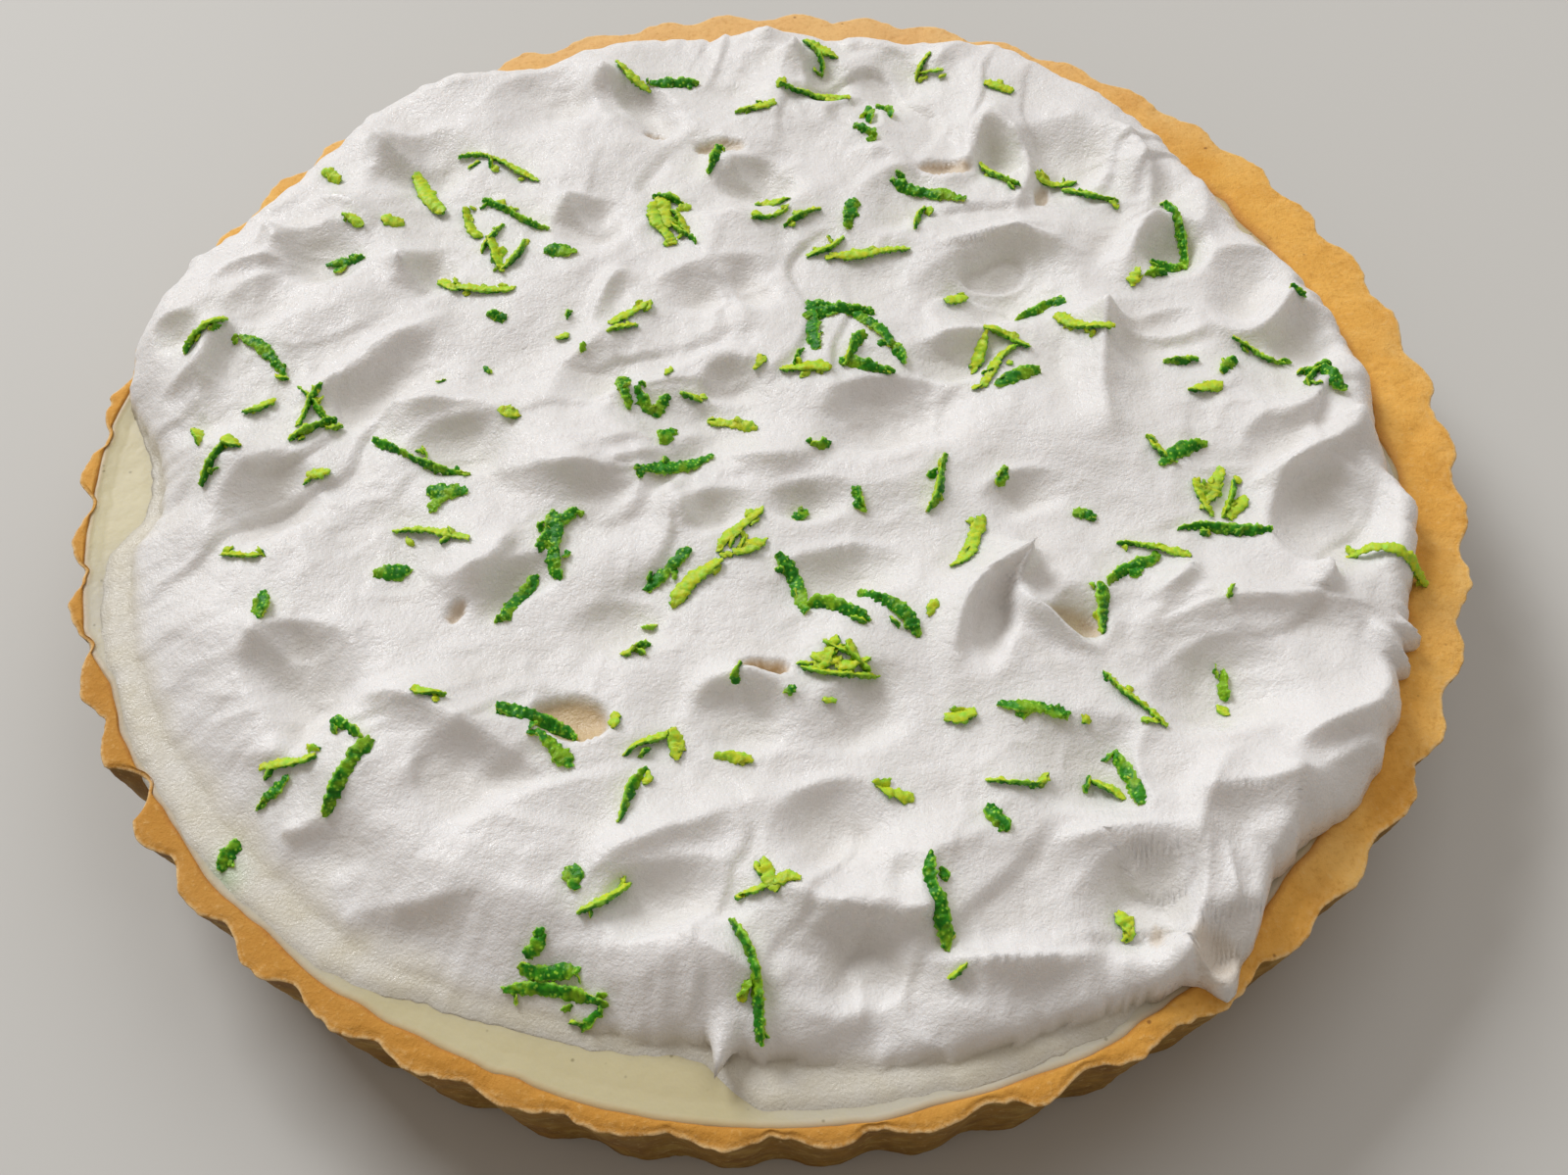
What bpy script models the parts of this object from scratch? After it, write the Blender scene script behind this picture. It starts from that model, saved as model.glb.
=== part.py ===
"""A round lemon tart with a spooned white topping and shreds of lime peel.

Metres, +Z up. The origin is at the bottom centre of the crust, -Y is the near side and +X the right.
Three solids lie in each other: the fluted crust shell, the lemon filling that fills it to the rim,
and the topping, whose swoops, peaks and shreds are one body.
"""

from math import cos, pi, radians, sin

import bmesh
import bpy
import numpy as np
from mathutils import Vector
from mathutils.bvhtree import BVHTree

MM = 0.001

# Crust shell
RIM_RADIUS = 120 * MM           # flute crests at the rim
BASE_RADIUS = 115.3 * MM        # flute crests at the base
CRUST_HEIGHT = 28.5 * MM
FLUTES = 50
FLUTE_DEPTH = 2.2 * MM
FLUTE_PHASE = radians(-1.1)     # a crest stands at this angle
SECTORS_PER_FLUTE = 5
WALL_FOOT = 7.0 * MM            # wall thickness where it meets the floor
FLOOR_THICKNESS = 5.0 * MM
EDGE_ROUND = 1.2 * MM
RIM_CROWN = 0.5 * MM            # the rim's top falls this much to its two edges
LEAST_RIM = 1.4 * MM            # width of the rim where it is thinnest

# Width of the rim's flat top, by angle from +X, anticlockwise
RIM_WIDTH = ((0, 11.0), (25, 12.5), (45, 11.5), (62, 9.5), (78, 10.0), (95, 9.5), (115, 8.5), (130, 6.5),
             (150, 6.0), (166, 3.4), (174, 2.2), (195, 2.2), (201, 4.2), (215, 5.0), (230, 6.0), (245, 5.0),
             (262, 4.0), (280, 4.2), (292, 3.2), (302, 4.5), (312, 8.0), (325, 8.5), (342, 10.0))

# The flute whose outer edge has broken away, leaving the rim's top level
CHIP_ANGLE = 211                # degrees
CHIP_HALF_ANGLE = 2.6           # degrees
CHIP_INWARD = 2.6 * MM
CHIP_DEPTH = 9.0 * MM           # how far down the wall it runs out

# Lemon filling
GAP = 0.3 * MM
FILLING_SECTORS = 120

# Topping
TOPPING_BED = CRUST_HEIGHT + GAP
TOPPING_GRID = 42               # cells across the disc
LEVEL = 6.2                     # mm of topping between its swoops

# Outer edge of the topping, by angle, in mm
TOPPING_EDGE = ((0, 108), (11, 105), (16, 107), (20, 103.5), (26, 101.5), (32, 102.5), (41, 106),
                (55, 110), (64, 112.5), (74, 108), (82, 106), (87, 108.5), (95, 106.5), (103, 109),
                (109, 109.5), (114, 108.5), (120, 111.5), (126, 117), (132, 117), (137, 114.5),
                (143, 113), (150, 114.5), (156, 117.5), (166, 117.5), (172, 115), (177, 109.5),
                (182, 107.5), (185, 109), (188, 114), (196, 116), (200, 114.5), (203, 113.3),
                (215, 113.3), (225, 112.6), (231, 112.3), (237, 112.6), (242, 110.5), (247, 109.3),
                (255, 109), (262, 107.5), (264.2, 108.7), (265, 111.6), (265.9, 108.8), (268, 108.2),
                (271, 111), (275, 114), (281, 114.2), (287, 114.9), (293, 115.2), (299, 117.2),
                (301.5, 119.5), (304, 118.4), (306.5, 114.4), (311, 111), (314, 110.3), (321, 113.3),
                (330, 112.4), (333, 110), (341, 109.6), (350, 110.3), (355, 109.5))

# How far in from its edge the topping has come up to its level, by angle, in mm
EDGE_SLOPE = ((0, 5), (30, 6), (100, 6), (170, 6), (180, 9), (195, 15), (225, 17), (245, 14), (262, 7),
              (275, 8), (290, 6), (320, 5), (345, 5))
# Width of the film that the topping thins out to before its edge, by angle, in mm
FILM_WIDTH = ((183, 0), (187, 5), (196, 6), (203, 5), (215, 5), (232, 5), (238, 4), (243, 0), (268, 0),
              (271, 4), (276, 6), (282, 4), (288, 1.5), (293, 0))
FILM_THICKNESS = 0.5            # mm
LEAST_THICKNESS = 1.4           # mm of topping at the bottom of the deepest hollow

# Waves that keep the swoops from being perfect ovals (WARP) and the level uneven: size and amount in mm, seed
WARP_X = ((34, 1.6, 3), (13, 0.3, 5))
WARP_Y = ((34, 1.6, 4), (13, 0.3, 6))
UNEVEN = ((40, 0.8, 7), (24, 0.5, 10), (20, 0.25, 9), (11, 0.12, 8))
WAVES = 7                       # crossing waves of each size
MERGE = 5                       # where scoops overlap, the deeper one nearly wins
WALL_SHARE = 0.6                # share of a scoop's length that falls from its lip
SQUARENESS = 2.4                # 2 makes a scoop's outline an oval, and more squarer
CREST_GAIN = 1.35

# Broad swells: x, y, radius, height, all in mm
SWELLS = ((-78, 34, 17, 2.4), (-104, 36, 12, 2.6), (-33, 0, 13, 1.8), (8, -1, 12, 1.2),
          (-52, -18, 10, 1.4), (-22, 60, 20, 1), (20, 60, 18, 1), (70, 78, 14, 1.6), (84, 40, 12, 1.2),
          (46, -2, 16, 1.4), (70, -70, 14, 1.2), (-8, 28, 12, 1), (80, 2, 12, 1.4), (76, -34, 12, 1.6),
          (22, -45, 18, 1.2), (84, -62, 12, 2), (40, -102, 18, 1.8), (4, -101, 6.5, 3.2),
          (-18, -98, 12, 1.2), (-40, -76, 15, 1.4), (-62, -60, 12, 1.2), (-100, -25, 14, -1.6),
          (-92, -55, 12, -1.2), (-84, -72, 9, -1.4), (-60, -98, 12, -2), (0, -105, 10, 0.8),
          (66, -88, 11, 2), (56, 94, 14, 1.2), (-10, 98, 16, 1), (-52, 84, 16, 1.4), (-30, 30, 16, 0.8),
          (102, -20, 8, 1.2))

# Scoops of the spoon: x, y of the lip's middle, heading downhill in degrees, length, half width,
# depth, raised lip, all in mm
SCOOPS = ((30.5, -39, -15, 9, 13, 4.2, 0.3), (43, 42.5, -72, 21, 16, 5.6, 1),
          (-9, 40, -80, 15, 12, 3.2, 0.8), (19, 9.5, -75, 17, 14, 4.6, 0.9),
          (64, 74, -110, 30, 13, 3.4, 0.9), (89, 37, -100, 17, 10, 2.4, 0.8),
          (31, 20, -75, 10, 10, 2.4, 0.6), (-54, 4, -72, 13, 10, 3, 0.8),
          (-70, 19, -52, 14, 15, 3.4, 0.8), (-92, 39, -60, 14, 9, 1.8, 0.5),
          (7, -10, -80, 9, 9, 2.6, 0.6), (41, -12, -70, 10, 8, 2.4, 0.6),
          (10, -25, -80, 12, 12, 3.4, 0.8), (84, -19, -20, 22, 14, 5.6, 1.2),
          (66, -46, -75, 19, 13, 4, 0.8), (46, -57, -90, 22, 15, 3, 0.7),
          (44, -38, -25, 10, 6.5, 3, 0.3), (51, -82, -85, 14, 15, 3.8, 0.7),
          (5, -69, -72, 15, 11, 4, 0.9), (9, -87.5, -85, 16, 13, 4.6, 0.7),
          (-18, -80, -70, 14, 11, 3.8, 0.8), (-48, -59, -60, 14, 14, 2.8, 0.8),
          (-80, -37, -62, 22, 10, 4.4, 0.7), (-90, -5, -50, 18, 11, 4, 0.7),
          (-10, -14, -75, 10, 8, 2.6, 0.7), (-33, 19, -50, 16, 10, 2.2, 0.4),
          (-72, -72, -55, 13, 10, 2.6, 0.7), (-8, 17, -90, 12, 8, 1.8, 0.9),
          (-5, -51, -90, 14, 8, 2.2, 1), (-45, 94, -70, 20, 14, 2.2, 0.4),
          (22, 97, -70, 20, 13, 2.2, 0.4), (-107, 30, -60, 10, 6, 1.8, 0.7),
          (94, 22, -60, 15, 8, 3, 0.6), (12, -49, -75, 14, 12, 2, 0.5), (-43, -26, -65, 9, 9, 1.8, 0.6),
          (-88, 49, -50, 16, 11, 3, 0.7), (-70, 74, -42, 18, 12, 3.8, 0.8),
          (-35, 55, -50, 14, 9, 2.8, 0.6), (-27, 91, -66, 22, 8, 3.8, 0.6),
          (85, -66, -60, 13, 10, 2.2, 0.7), (-59, -83, -80, 11, 11, 2.6, 0.7),
          (-64, 43, -42, 12, 8, 2.6, 0.6), (-4, 66, -55, 16, 9, 3.8, 0.6),
          (74, 46, -80, 16, 7, 3.6, 0.5), (11, 97, -72, 18, 8, 3.4, 0.5), (46, 74, -85, 16, 5, 2.8, 0.5),
          (-102, 15, -60, 16, 8, 2.2, 0.5), (70, 24, -70, 12, 9, 1.6, 0.4),
          (-20, 10, -60, 13, 9, 1.6, 0.5), (72, -80, -30, 10, 8, 2.2, 0.4),
          (96, -52, -30, 10, 7, 1.8, 0.4), (-26, -34, -70, 12, 10, 1.6, 0.4),
          (24, 60, -70, 14, 10, 2, 0.5), (84, -2, -60, 12, 9, 1.8, 0.5))

# Crests left by the spoon's edge: from x, y to x, y, bulge to the left of travel, height,
# reach on the right and on the left of travel, all in mm, and the share of the way where it is highest
CRESTS = ((29.5, -50, 44, -27, 6.5, 3.2, 4, 9, 0.8), (42.5, -28, 38, -37, -1.5, 3.2, 3.5, 4.5, 0.4),
          (37.5, -34, 51, -46.5, -2.5, 3.2, 3.5, 5, 0.25), (-12, 1, -47, -6, 5, 2.8, 14, 5, 0.5),
          (10, -3, -10, -5, 2.5, 2, 10, 4.5, 0.5), (61, -76, 56, -58, 5, 1.8, 6, 9, 0.5),
          (68, -78, 36, -80, -1, 2.2, 9, 4.5, 0.5), (21, -90, -4, -82, 2, 3.4, 9, 4.5, 0.25),
          (9, -93, 10, -105, 1.5, 1.2, 5, 3.5, 0.4), (-5, -72, -30, -86, -2.5, 2.4, 10, 5, 0.4),
          (-36, -66, -66, -51, -3, 2.6, 11, 5.5, 0.6), (-44, -81, -64, -86, -1.5, 2.2, 7, 4.5, 0.7),
          (-63, -86, -80, -65, 3, 2.2, 7, 4.5, 0.5), (64, -78, 22, -98, 8, 3.2, 10, 5, 0.5),
          (76, -72, 68, -95, 1.5, 2.6, 6, 3, 0.4), (82, -69, 60, -73, 2, 2.2, 7, 4, 0.5),
          (103, 0, 79, -15, 3, 2.6, 10, 5.5, 0.5), (98, -42, 56, -43, -2.5, 2, 9, 5.5, 0.5),
          (97, 25, 79, 22, 4.5, 2.2, 8, 4.5, 0.5), (72, 48, 65, 73, -6, 2.4, 5, 8, 0.4),
          (34, 58, 46, 76, -1.5, 2, 5, 6, 0.8), (45, 47, 48, 75, -5, 2, 5, 6, 0.8),
          (62, 40, 29, 42, -1.5, 2, 10, 4.5, 0.5), (-3, 22, -9, 40, -0.5, 1.8, 4.5, 7, 0.7),
          (-33, 23, -23, 39, 1.5, 1.8, 4.5, 7, 0.6), (-55, 30, -84, 10, 2, 2, 11, 5.5, 0.5),
          (-42, -19, -60, -25, 6, 1.8, 7, 4, 0.4), (-13, -21, -18, -11, 1, 1.8, 4, 6, 0.6),
          (-94, 3, -97, 26, 2, 2, 5, 8, 0.6), (-103, 38, -87, 42, 3.5, 1.6, 4, 7, 0.5),
          (70, -31, 61, -37, 1, 2.2, 6, 3.5, 0.4), (89, -33, 85, -39, 1, 2, 5, 3, 0.4),
          (96, -58, 76, -68, -3, 2.2, 7, 4, 0.5), (57, -6, 62, 24, -1, 4.2, 7, 9, 0.93),
          (80, 22, 64, 20, 3, 1.6, 7, 4, 0.5), (66, 32, 74, 46, 2, 2.2, 5, 7, 0.85),
          (-61, 6, -44, 5, 1.5, 2, 5, 7, 0.2), (76, -80, 66, -94, -1, 1.8, 5, 2.5, 0.5),
          (66, -80, 64.5, -91, 0.5, 1.6, 4.5, 2.5, 0.5), (69, -91, 62, -104, 1, 2, 3, 2.5, 0.5),
          (46, -99, 20, -106, 2, 1.6, 8, 4.5, 0.5), (84, 62, 77, 40, 2, 1.4, 8, 4.5, 0.5),
          (-28, -19, -20, 1, -3, 1.4, 4.5, 9, 0.5), (100, 8, 84, -3, 2, 2, 7, 4.5, 0.5),
          (-87, 40, -91, 51, 0, 1.8, 6, 9, 0.85), (-60, 70, -73, 76, 3, 2.2, 10, 6, 0.85),
          (-21, 75, -28, 92, 2, 2.2, 6, 9, 0.85), (3, 58, -5, 65, 1, 1.8, 8, 5, 0.85),
          (-56, 36, -66, 43, 2, 1.6, 7, 4.5, 0.85), (-27, 49, -36, 56, 2, 1.6, 7, 4.5, 0.85),
          (11, 82, 9, 98, -1, 2, 5, 7, 0.85), (-15, -90, 0, -98, -3, 1.6, 5, 8, 0.5),
          (101, -47, 92, -43, 2, 1.6, 5, 3.5, 0.5), (94, -50, 86, -62, 2, 1.6, 6, 3.5, 0.5),
          (40, 21, 27, 18, -1, 1.6, 7, 3.5, 0.4), (70, -66, 62, -84, -2, 1.4, 6, 4, 0.5),
          (30, -75, 19, -86, -2, 1.6, 7, 4, 0.4), (-84, -38, -74, -50, 3, 1.4, 8, 5, 0.2),
          (-104, 12, -96, 30, -3, 1.6, 4, 7, 0.6), (-13, 8, -3, 15, 4, 1.2, 4, 5, 0.5),
          (-14, -54, 3, -53, 3.5, 1.4, 4, 7, 0.5), (-36, 24, -24, 12, 3, 1.2, 8, 5, 0.5),
          (34, 88, 46, 96, 3, 1.4, 6, 8, 0.5), (-62, 92, -44, 100, 2, 1.4, 6, 8, 0.5),
          (-84, 60, -72, 52, 2, 1.4, 8, 5, 0.4), (16, 66, 30, 60, 2, 1.4, 8, 5, 0.5),
          (-12, 50, 2, 44, 2, 1.4, 8, 5, 0.5))

# Pulled peaks: x, y, height, radius, heading of the lean in degrees, lean, all in mm
PEAKS = ((62, 24, 3.2, 8, 90, 1.5), (-73, 75, 2.6, 10, 150, 2), (-91, 50, 2.4, 9, 150, 2),
         (-66, 43, 2.2, 8, 150, 2), (-36, 56, 2.2, 9, 120, 1.5), (-28, 92, 2.8, 10, 120, 1.5),
         (-5, 65, 2.6, 9, 100, 1.5), (10, 97, 3, 10, 100, 1.5), (47, 75, 3.6, 10, 110, 1.5),
         (74, 45, 2.8, 9, 90, 1.5), (95, 23, 3, 9, 60, 1.5), (38.5, -28, 2.8, 7, 5, 4),
         (3, 102, 3, 8, 90, 0.5), (-82, -37, 2.2, 8, 120, 1), (-93, -5, 2.6, 9, 140, 1.5),
         (-73, -71, 2.6, 7, 200, 2), (-64, -85, 2.2, 6, 250, 2.5), (19, -88, 2.6, 7, 320, 2.5),
         (-9.5, -107.5, 1.6, 3.5, 250, 1), (-4, -72, 2, 8, 100, 1), (-5, -51, 1.8, 7, 90, 0.5),
         (76, -71, 2.4, 7, 60, 1), (-49, -28, 1.6, 6, 90, 0.5), (-61, 7, 2.2, 8, 130, 1),
         (100, -2, 2.4, 7, 60, 1), (88, -34, 1.8, 5, 90, 0.5), (-97, 26, 2, 8, 120, 1))

# Open holes: x, y, heading, half length, half width, depth, all in mm
HOLES = ((-33, -54, 5, 6.4, 3.6, 3.2), (-3, -47.5, 0, 3.5, 2.1, 2.8), (-51.5, -32.5, 60, 2, 1.4, 1.6),
         (47.5, -40.5, -20, 5, 2.8, 1.6), (-7, 71, 0, 6, 2, 1.4), (36, 63, 10, 5, 2.2, 1.4))

# Shreds of peel: x, y, heading, length, bend to the left, all in mm and degrees
SHREDS = ((-25, 90, -48, 10, 1), (-15, 88, -3, 9, 0), (-50, 65, -32, 18, 2), (-61, 59, -58, 16, -2),
          (12, 95, -60, 9, 0), (13, 82, -4, 10, 0), (0, 79, 8, 9, 0), (-8, 66, 65, 8, 0),
          (-45, 55, -45, 13, 0), (-50, 47, 62, 11, 1), (-17, 53, -78, 12, 0), (3, 52, 20, 8, 3),
          (8, 49, 25, 7, 0), (33, 54, -42, 12, -1), (56, 60, -15, 8, -1), (62, 53, -40, 11, 1),
          (46, 60, -58, 12, 0), (16, 43, 38, 11, 0), (28, 46, 50, 13, 0), (77, 44, -75, 14, 1),
          (75, 38, 5, 7, 0), (12, 29, 5, 11, 3), (9, 23, -85, 11, 0), (18, 22, -65, 12, 1),
          (18, 14, -15, 11, 0), (43, 19, 20, 11, 0), (43, 12, 42, 10, 0), (51, 26, 20, 8, 0),
          (54, 22, -50, 7, 1), (87, 14, -32, 11, 1), (-23, 27, 40, 9, 0), (-90, 21, -42, 12, 0),
          (-79, 8, -62, 10, 0), (-24, 11, 85, 8, 0), (-53, 34, -8, 10, 0), (-59, -2, -24, 19, -1),
          (-16, -5, 24, 14, 0), (-36, -19, -80, 13, 0), (-56, -18, -14, 14, 0), (-18, -26, 45, 11, 0),
          (-42, -30, 62, 10, 0), (-13, -29, 40, 10, 1), (-5, -19, 58, 12, 0), (4, -32, -48, 17, -2),
          (17, -36, -52, 14, 0), (32, -23, 55, 13, 0), (28, -11, 68, 12, 1), (71, -6, 22, 10, 0),
          (74, -16, 62, 9, 0), (73, -23, -6, 16, -1), (62, -25, -10, 11, 1), (57, -31, 32, 11, 1),
          (52, -38, 85, 8, 0), (101, -27, -12, 15, 2), (39, -56, -14, 10, 0), (54, -54, -52, 12, 0),
          (52, -66, -62, 9, 0), (22, -86, 86, 16, 0), (-5, -95, -75, 16, 0), (-34, -93, -12, 8, 0),
          (-33, -98, -10, 15, 0), (-38, -54, -24, 12, 0), (-34, -60, -52, 8, 0), (-65, -62, 62, 11, 0),
          (-20, -68, 70, 9, 0), (10, -46, -20, 11, 0), (35, -69, -4, 9, 0), (-3, -84, -4, 9, 1))
SHRED_WIDTH = 2.0 * MM
SHRED_THICKNESS = 1.3 * MM
SHRED_PROUD = 0.75 * MM         # how far a shred stands above the topping
SHRED_STATIONS = 4


def material(name, color, roughness, subsurface=0.0):
    """A Principled material of one colour."""
    mat = bpy.data.materials.new(name)
    mat.use_nodes = True
    shader = mat.node_tree.nodes["Principled BSDF"]
    shader.inputs["Base Color"].default_value = (*color, 1)
    shader.inputs["Roughness"].default_value = roughness
    shader.inputs["Metallic"].default_value = 0
    shader.inputs["Subsurface Weight"].default_value = subsurface
    mat.diffuse_color = (*color, 1)
    return mat


def by_angle(table, theta):
    """Reads a table of (degrees, value) round the full turn, smoothly between its rows."""
    degrees = np.array([row[0] for row in table], float)
    values = np.array([row[1] for row in table], float)
    degrees = np.concatenate((degrees - 360, degrees, degrees + 360))
    values = np.tile(values, 3)
    return np.interp(np.degrees(theta) % 360, degrees, values)


def wall_radius(theta, height):
    """Outer radius of the crust at a height: flutes with broad crests and narrower valleys."""
    crest = BASE_RADIUS + (RIM_RADIUS - BASE_RADIUS) * height / CRUST_HEIGHT
    wave = 0.5 - 0.5 * np.cos(FLUTES * (theta - FLUTE_PHASE))
    return crest - FLUTE_DEPTH * wave ** 1.3


def chip(theta):
    """How much of the rim is missing at an angle, from 0 to 1."""
    off = (np.degrees(theta) - CHIP_ANGLE + 180) % 360 - 180
    return np.clip(1 - (off / CHIP_HALF_ANGLE) ** 2, 0, 1) ** 0.5


def rim_inner_radius(theta):
    """Where the rim's top ends and the filling begins."""
    uneven = 0.5 * MM * np.sin(13 * theta + 1) + 0.4 * MM * np.sin(29 * theta)
    inner = RIM_RADIUS - FLUTE_DEPTH / 2 - by_angle(RIM_WIDTH, theta) * MM + uneven
    outer = wall_radius(theta, CRUST_HEIGHT) - CHIP_INWARD * chip(theta)
    return np.minimum(inner, outer - LEAST_RIM)


def ring(radius, height, theta):
    height = np.broadcast_to(height, theta.shape)
    return np.stack((radius * np.cos(theta), radius * np.sin(theta), height), axis=1)


def solid_of_rings(name, rings, mat):
    """A closed solid: rings of equal count from the middle of one face round to the middle of the other."""
    mesh = bpy.data.meshes.new(name)
    bm = bmesh.new()
    loops = [[bm.verts.new(p) for p in points] for points in rings]
    count = len(loops[0])
    for low, high in zip(loops, loops[1:]):
        for i in range(count):
            j = (i + 1) % count
            bm.faces.new((low[i], low[j], high[j], high[i]))
    bm.faces.new(reversed(loops[0]))
    bm.faces.new(loops[-1])
    bmesh.ops.triangulate(bm, faces=bm.faces)
    bmesh.ops.recalc_face_normals(bm, faces=bm.faces)
    bm.to_mesh(mesh)
    bm.free()
    mesh.shade_smooth()
    mesh.set_sharp_from_angle(angle=radians(50))
    mesh.materials.append(mat)
    obj = bpy.data.objects.new(name, mesh)
    bpy.context.scene.collection.objects.link(obj)
    return obj


def build_crust():
    """The fluted shell: floor, leaning wall, and a rim of uneven width with one chipped flute."""
    theta = np.arange(FLUTES * SECTORS_PER_FLUTE) * 2 * pi / (FLUTES * SECTORS_PER_FLUTE) + FLUTE_PHASE
    top = CRUST_HEIGHT
    inward = CHIP_INWARD * chip(theta)
    outer = wall_radius(theta, top) - inward
    inner = rim_inner_radius(theta)
    middle = (inner + outer) / 2
    foot = BASE_RADIUS - WALL_FOOT
    rings = (
        ring(wall_radius(theta, 0) - EDGE_ROUND, 0.0, theta),
        ring(wall_radius(theta, EDGE_ROUND), EDGE_ROUND, theta),
        ring(wall_radius(theta, top - CHIP_DEPTH), top - CHIP_DEPTH, theta),
        ring(wall_radius(theta, top - EDGE_ROUND) - inward, top - EDGE_ROUND, theta),
        ring(outer - 0.7 * EDGE_ROUND, top - 0.3 * RIM_CROWN, theta),
        ring(middle, top, theta),
        ring(inner, top - RIM_CROWN, theta),
        ring(np.full_like(theta, foot), FLOOR_THICKNESS, theta),
    )
    return solid_of_rings("crust", rings, material("baked_crust", (0.72, 0.42, 0.15), 0.75))


def build_filling():
    """The lemon filling: it fills the shell and stands level with the rim."""
    theta = np.arange(FILLING_SECTORS) * 2 * pi / FILLING_SECTORS
    fine = np.linspace(-1.5, 1.5, 7)[:, None] * pi / FILLING_SECTORS + theta[None, :]
    shell = rim_inner_radius(fine).min(axis=0)
    foot = BASE_RADIUS - WALL_FOOT - GAP * 2
    side = 2 * GAP
    rings = (
        ring(np.full_like(theta, foot - side), FLOOR_THICKNESS + GAP, theta),
        ring(shell - side, CRUST_HEIGHT - 1.6 * RIM_CROWN, theta),
        ring(shell - side - 1.0 * MM, CRUST_HEIGHT - 0.1 * MM, theta),
    )
    return solid_of_rings("filling", rings, material("lemon_filling", (0.80, 0.72, 0.45), 0.3, 0.1))


def waves(x, y, rows):
    """Smooth seeded unevenness: for each size, a few waves that cross each other."""
    total = np.zeros(np.shape(x))
    for size, amount, seed in rows:
        draw = np.random.default_rng(seed)
        for k in range(WAVES):
            angle = 2 * pi * (k + draw.uniform(0, 0.8)) / WAVES
            number = 2 * pi / size * draw.uniform(0.7, 1.35)
            wave = np.sin(number * (x * cos(angle) + y * sin(angle)) + draw.uniform(0, 2 * pi))
            total = total + wave * amount / WAVES ** 0.5 / 1.4
    return total


def scoop(x, y, px, py, heading, length, half_width, depth, lip):
    """A hollow that falls from a crisp, raised lip and runs out gently at its far end."""
    cx = px + WALL_SHARE * length * cos(radians(heading))
    cy = py + WALL_SHARE * length * sin(radians(heading))
    along = (x - cx) * cos(radians(heading)) + (y - cy) * sin(radians(heading))
    across = -(x - cx) * sin(radians(heading)) + (y - cy) * cos(radians(heading))
    reach = np.where(along < 0, WALL_SHARE, 1 - WALL_SHARE) * length
    q = (np.abs(along / reach) ** SQUARENESS + np.abs(across / half_width) ** SQUARENESS) ** (1 / SQUARENESS)
    front = np.clip(0.5 + 0.5 * along / np.maximum(np.hypot(along, across), 1e-6), 0, 1)
    hollow = depth * np.clip(1 - q * q, 0, None) ** (1 + 1.5 * np.clip(2.4 * front, 0, 1))
    raised = lip * np.clip(1 - 2 * front, 0, 1) * np.clip(1 - np.abs(q - 1) / 0.5, 0, None) ** 2
    return hollow, raised


def crest(x, y, ax, ay, bx, by, bulge, height, right_reach, left_reach, summit):
    """A curved, sharp crest that rises to its summit and fades to both ends."""
    length = np.hypot(bx - ax, by - ay)
    ux, uy = (bx - ax) / length, (by - ay) / length
    along = ((x - ax) * ux + (y - ay) * uy) / length
    side = -(x - ax) * uy + (y - ay) * ux - bulge * 4 * along * (1 - along)
    rise = np.clip(np.where(along < summit, along / summit, (1 - along) / (1 - summit)), 0, 1)
    reach = np.where(side < 0, right_reach, left_reach)
    return height * rise * (2 - rise) * np.clip(1 - np.abs(side) / reach, 0, None) ** 2


def topping_point(x, y):
    """Height above the bed and sideways lean, in mm, of the topping at x, y, in mm."""
    x, y = x + waves(x, y, WARP_X), y + waves(x, y, WARP_Y)
    z = LEVEL + waves(x, y, UNEVEN)
    dx = np.zeros(np.shape(x))
    dy = np.zeros(np.shape(x))
    for px, py, radius, height in SWELLS:
        z = z + height * np.exp(-((x - px) ** 2 + (y - py) ** 2) / radius ** 2)
    hollows = np.zeros(np.shape(x))
    for row in SCOOPS:
        hollow, raised = scoop(x, y, *row)
        hollows = hollows + hollow ** MERGE
        z = z + raised
    z = z - hollows ** (1 / MERGE)
    for row in CRESTS:
        z = z + CREST_GAIN * crest(x, y, *row)
    for px, py, height, radius, heading, lean in PEAKS:
        near = np.clip(1 - np.hypot(x - px, y - py) / radius, 0, None)
        z = z + height * near ** 2
        dx = dx + lean * cos(radians(heading)) * near ** 3
        dy = dy + lean * sin(radians(heading)) * near ** 3
    for px, py, heading, half_length, half_width, depth in HOLES:
        along = (x - px) * cos(radians(heading)) + (y - py) * sin(radians(heading))
        across = -(x - px) * sin(radians(heading)) + (y - py) * cos(radians(heading))
        inside = np.clip(1 - (along / half_length) ** 2 - (across / half_width) ** 2, 0, None)
        z = z - depth * inside ** 0.5
    return z, dx, dy


def disc_grid(cells):
    """A square grid bent into a unit disc of even cells: returns radius share and angle per point."""
    a, b = np.meshgrid(np.linspace(-1, 1, cells + 1), np.linspace(-1, 1, cells + 1))
    wide = np.abs(a) > np.abs(b)
    share = np.where(wide, a, b)
    other = np.where(wide, b, a)
    ratio = other / np.where(share == 0, 1, share)
    phi = np.where(wide, pi / 4 * ratio, pi / 2 - pi / 4 * ratio)
    phi = np.where(share < 0, phi + pi, phi)
    return np.abs(share), phi


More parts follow.
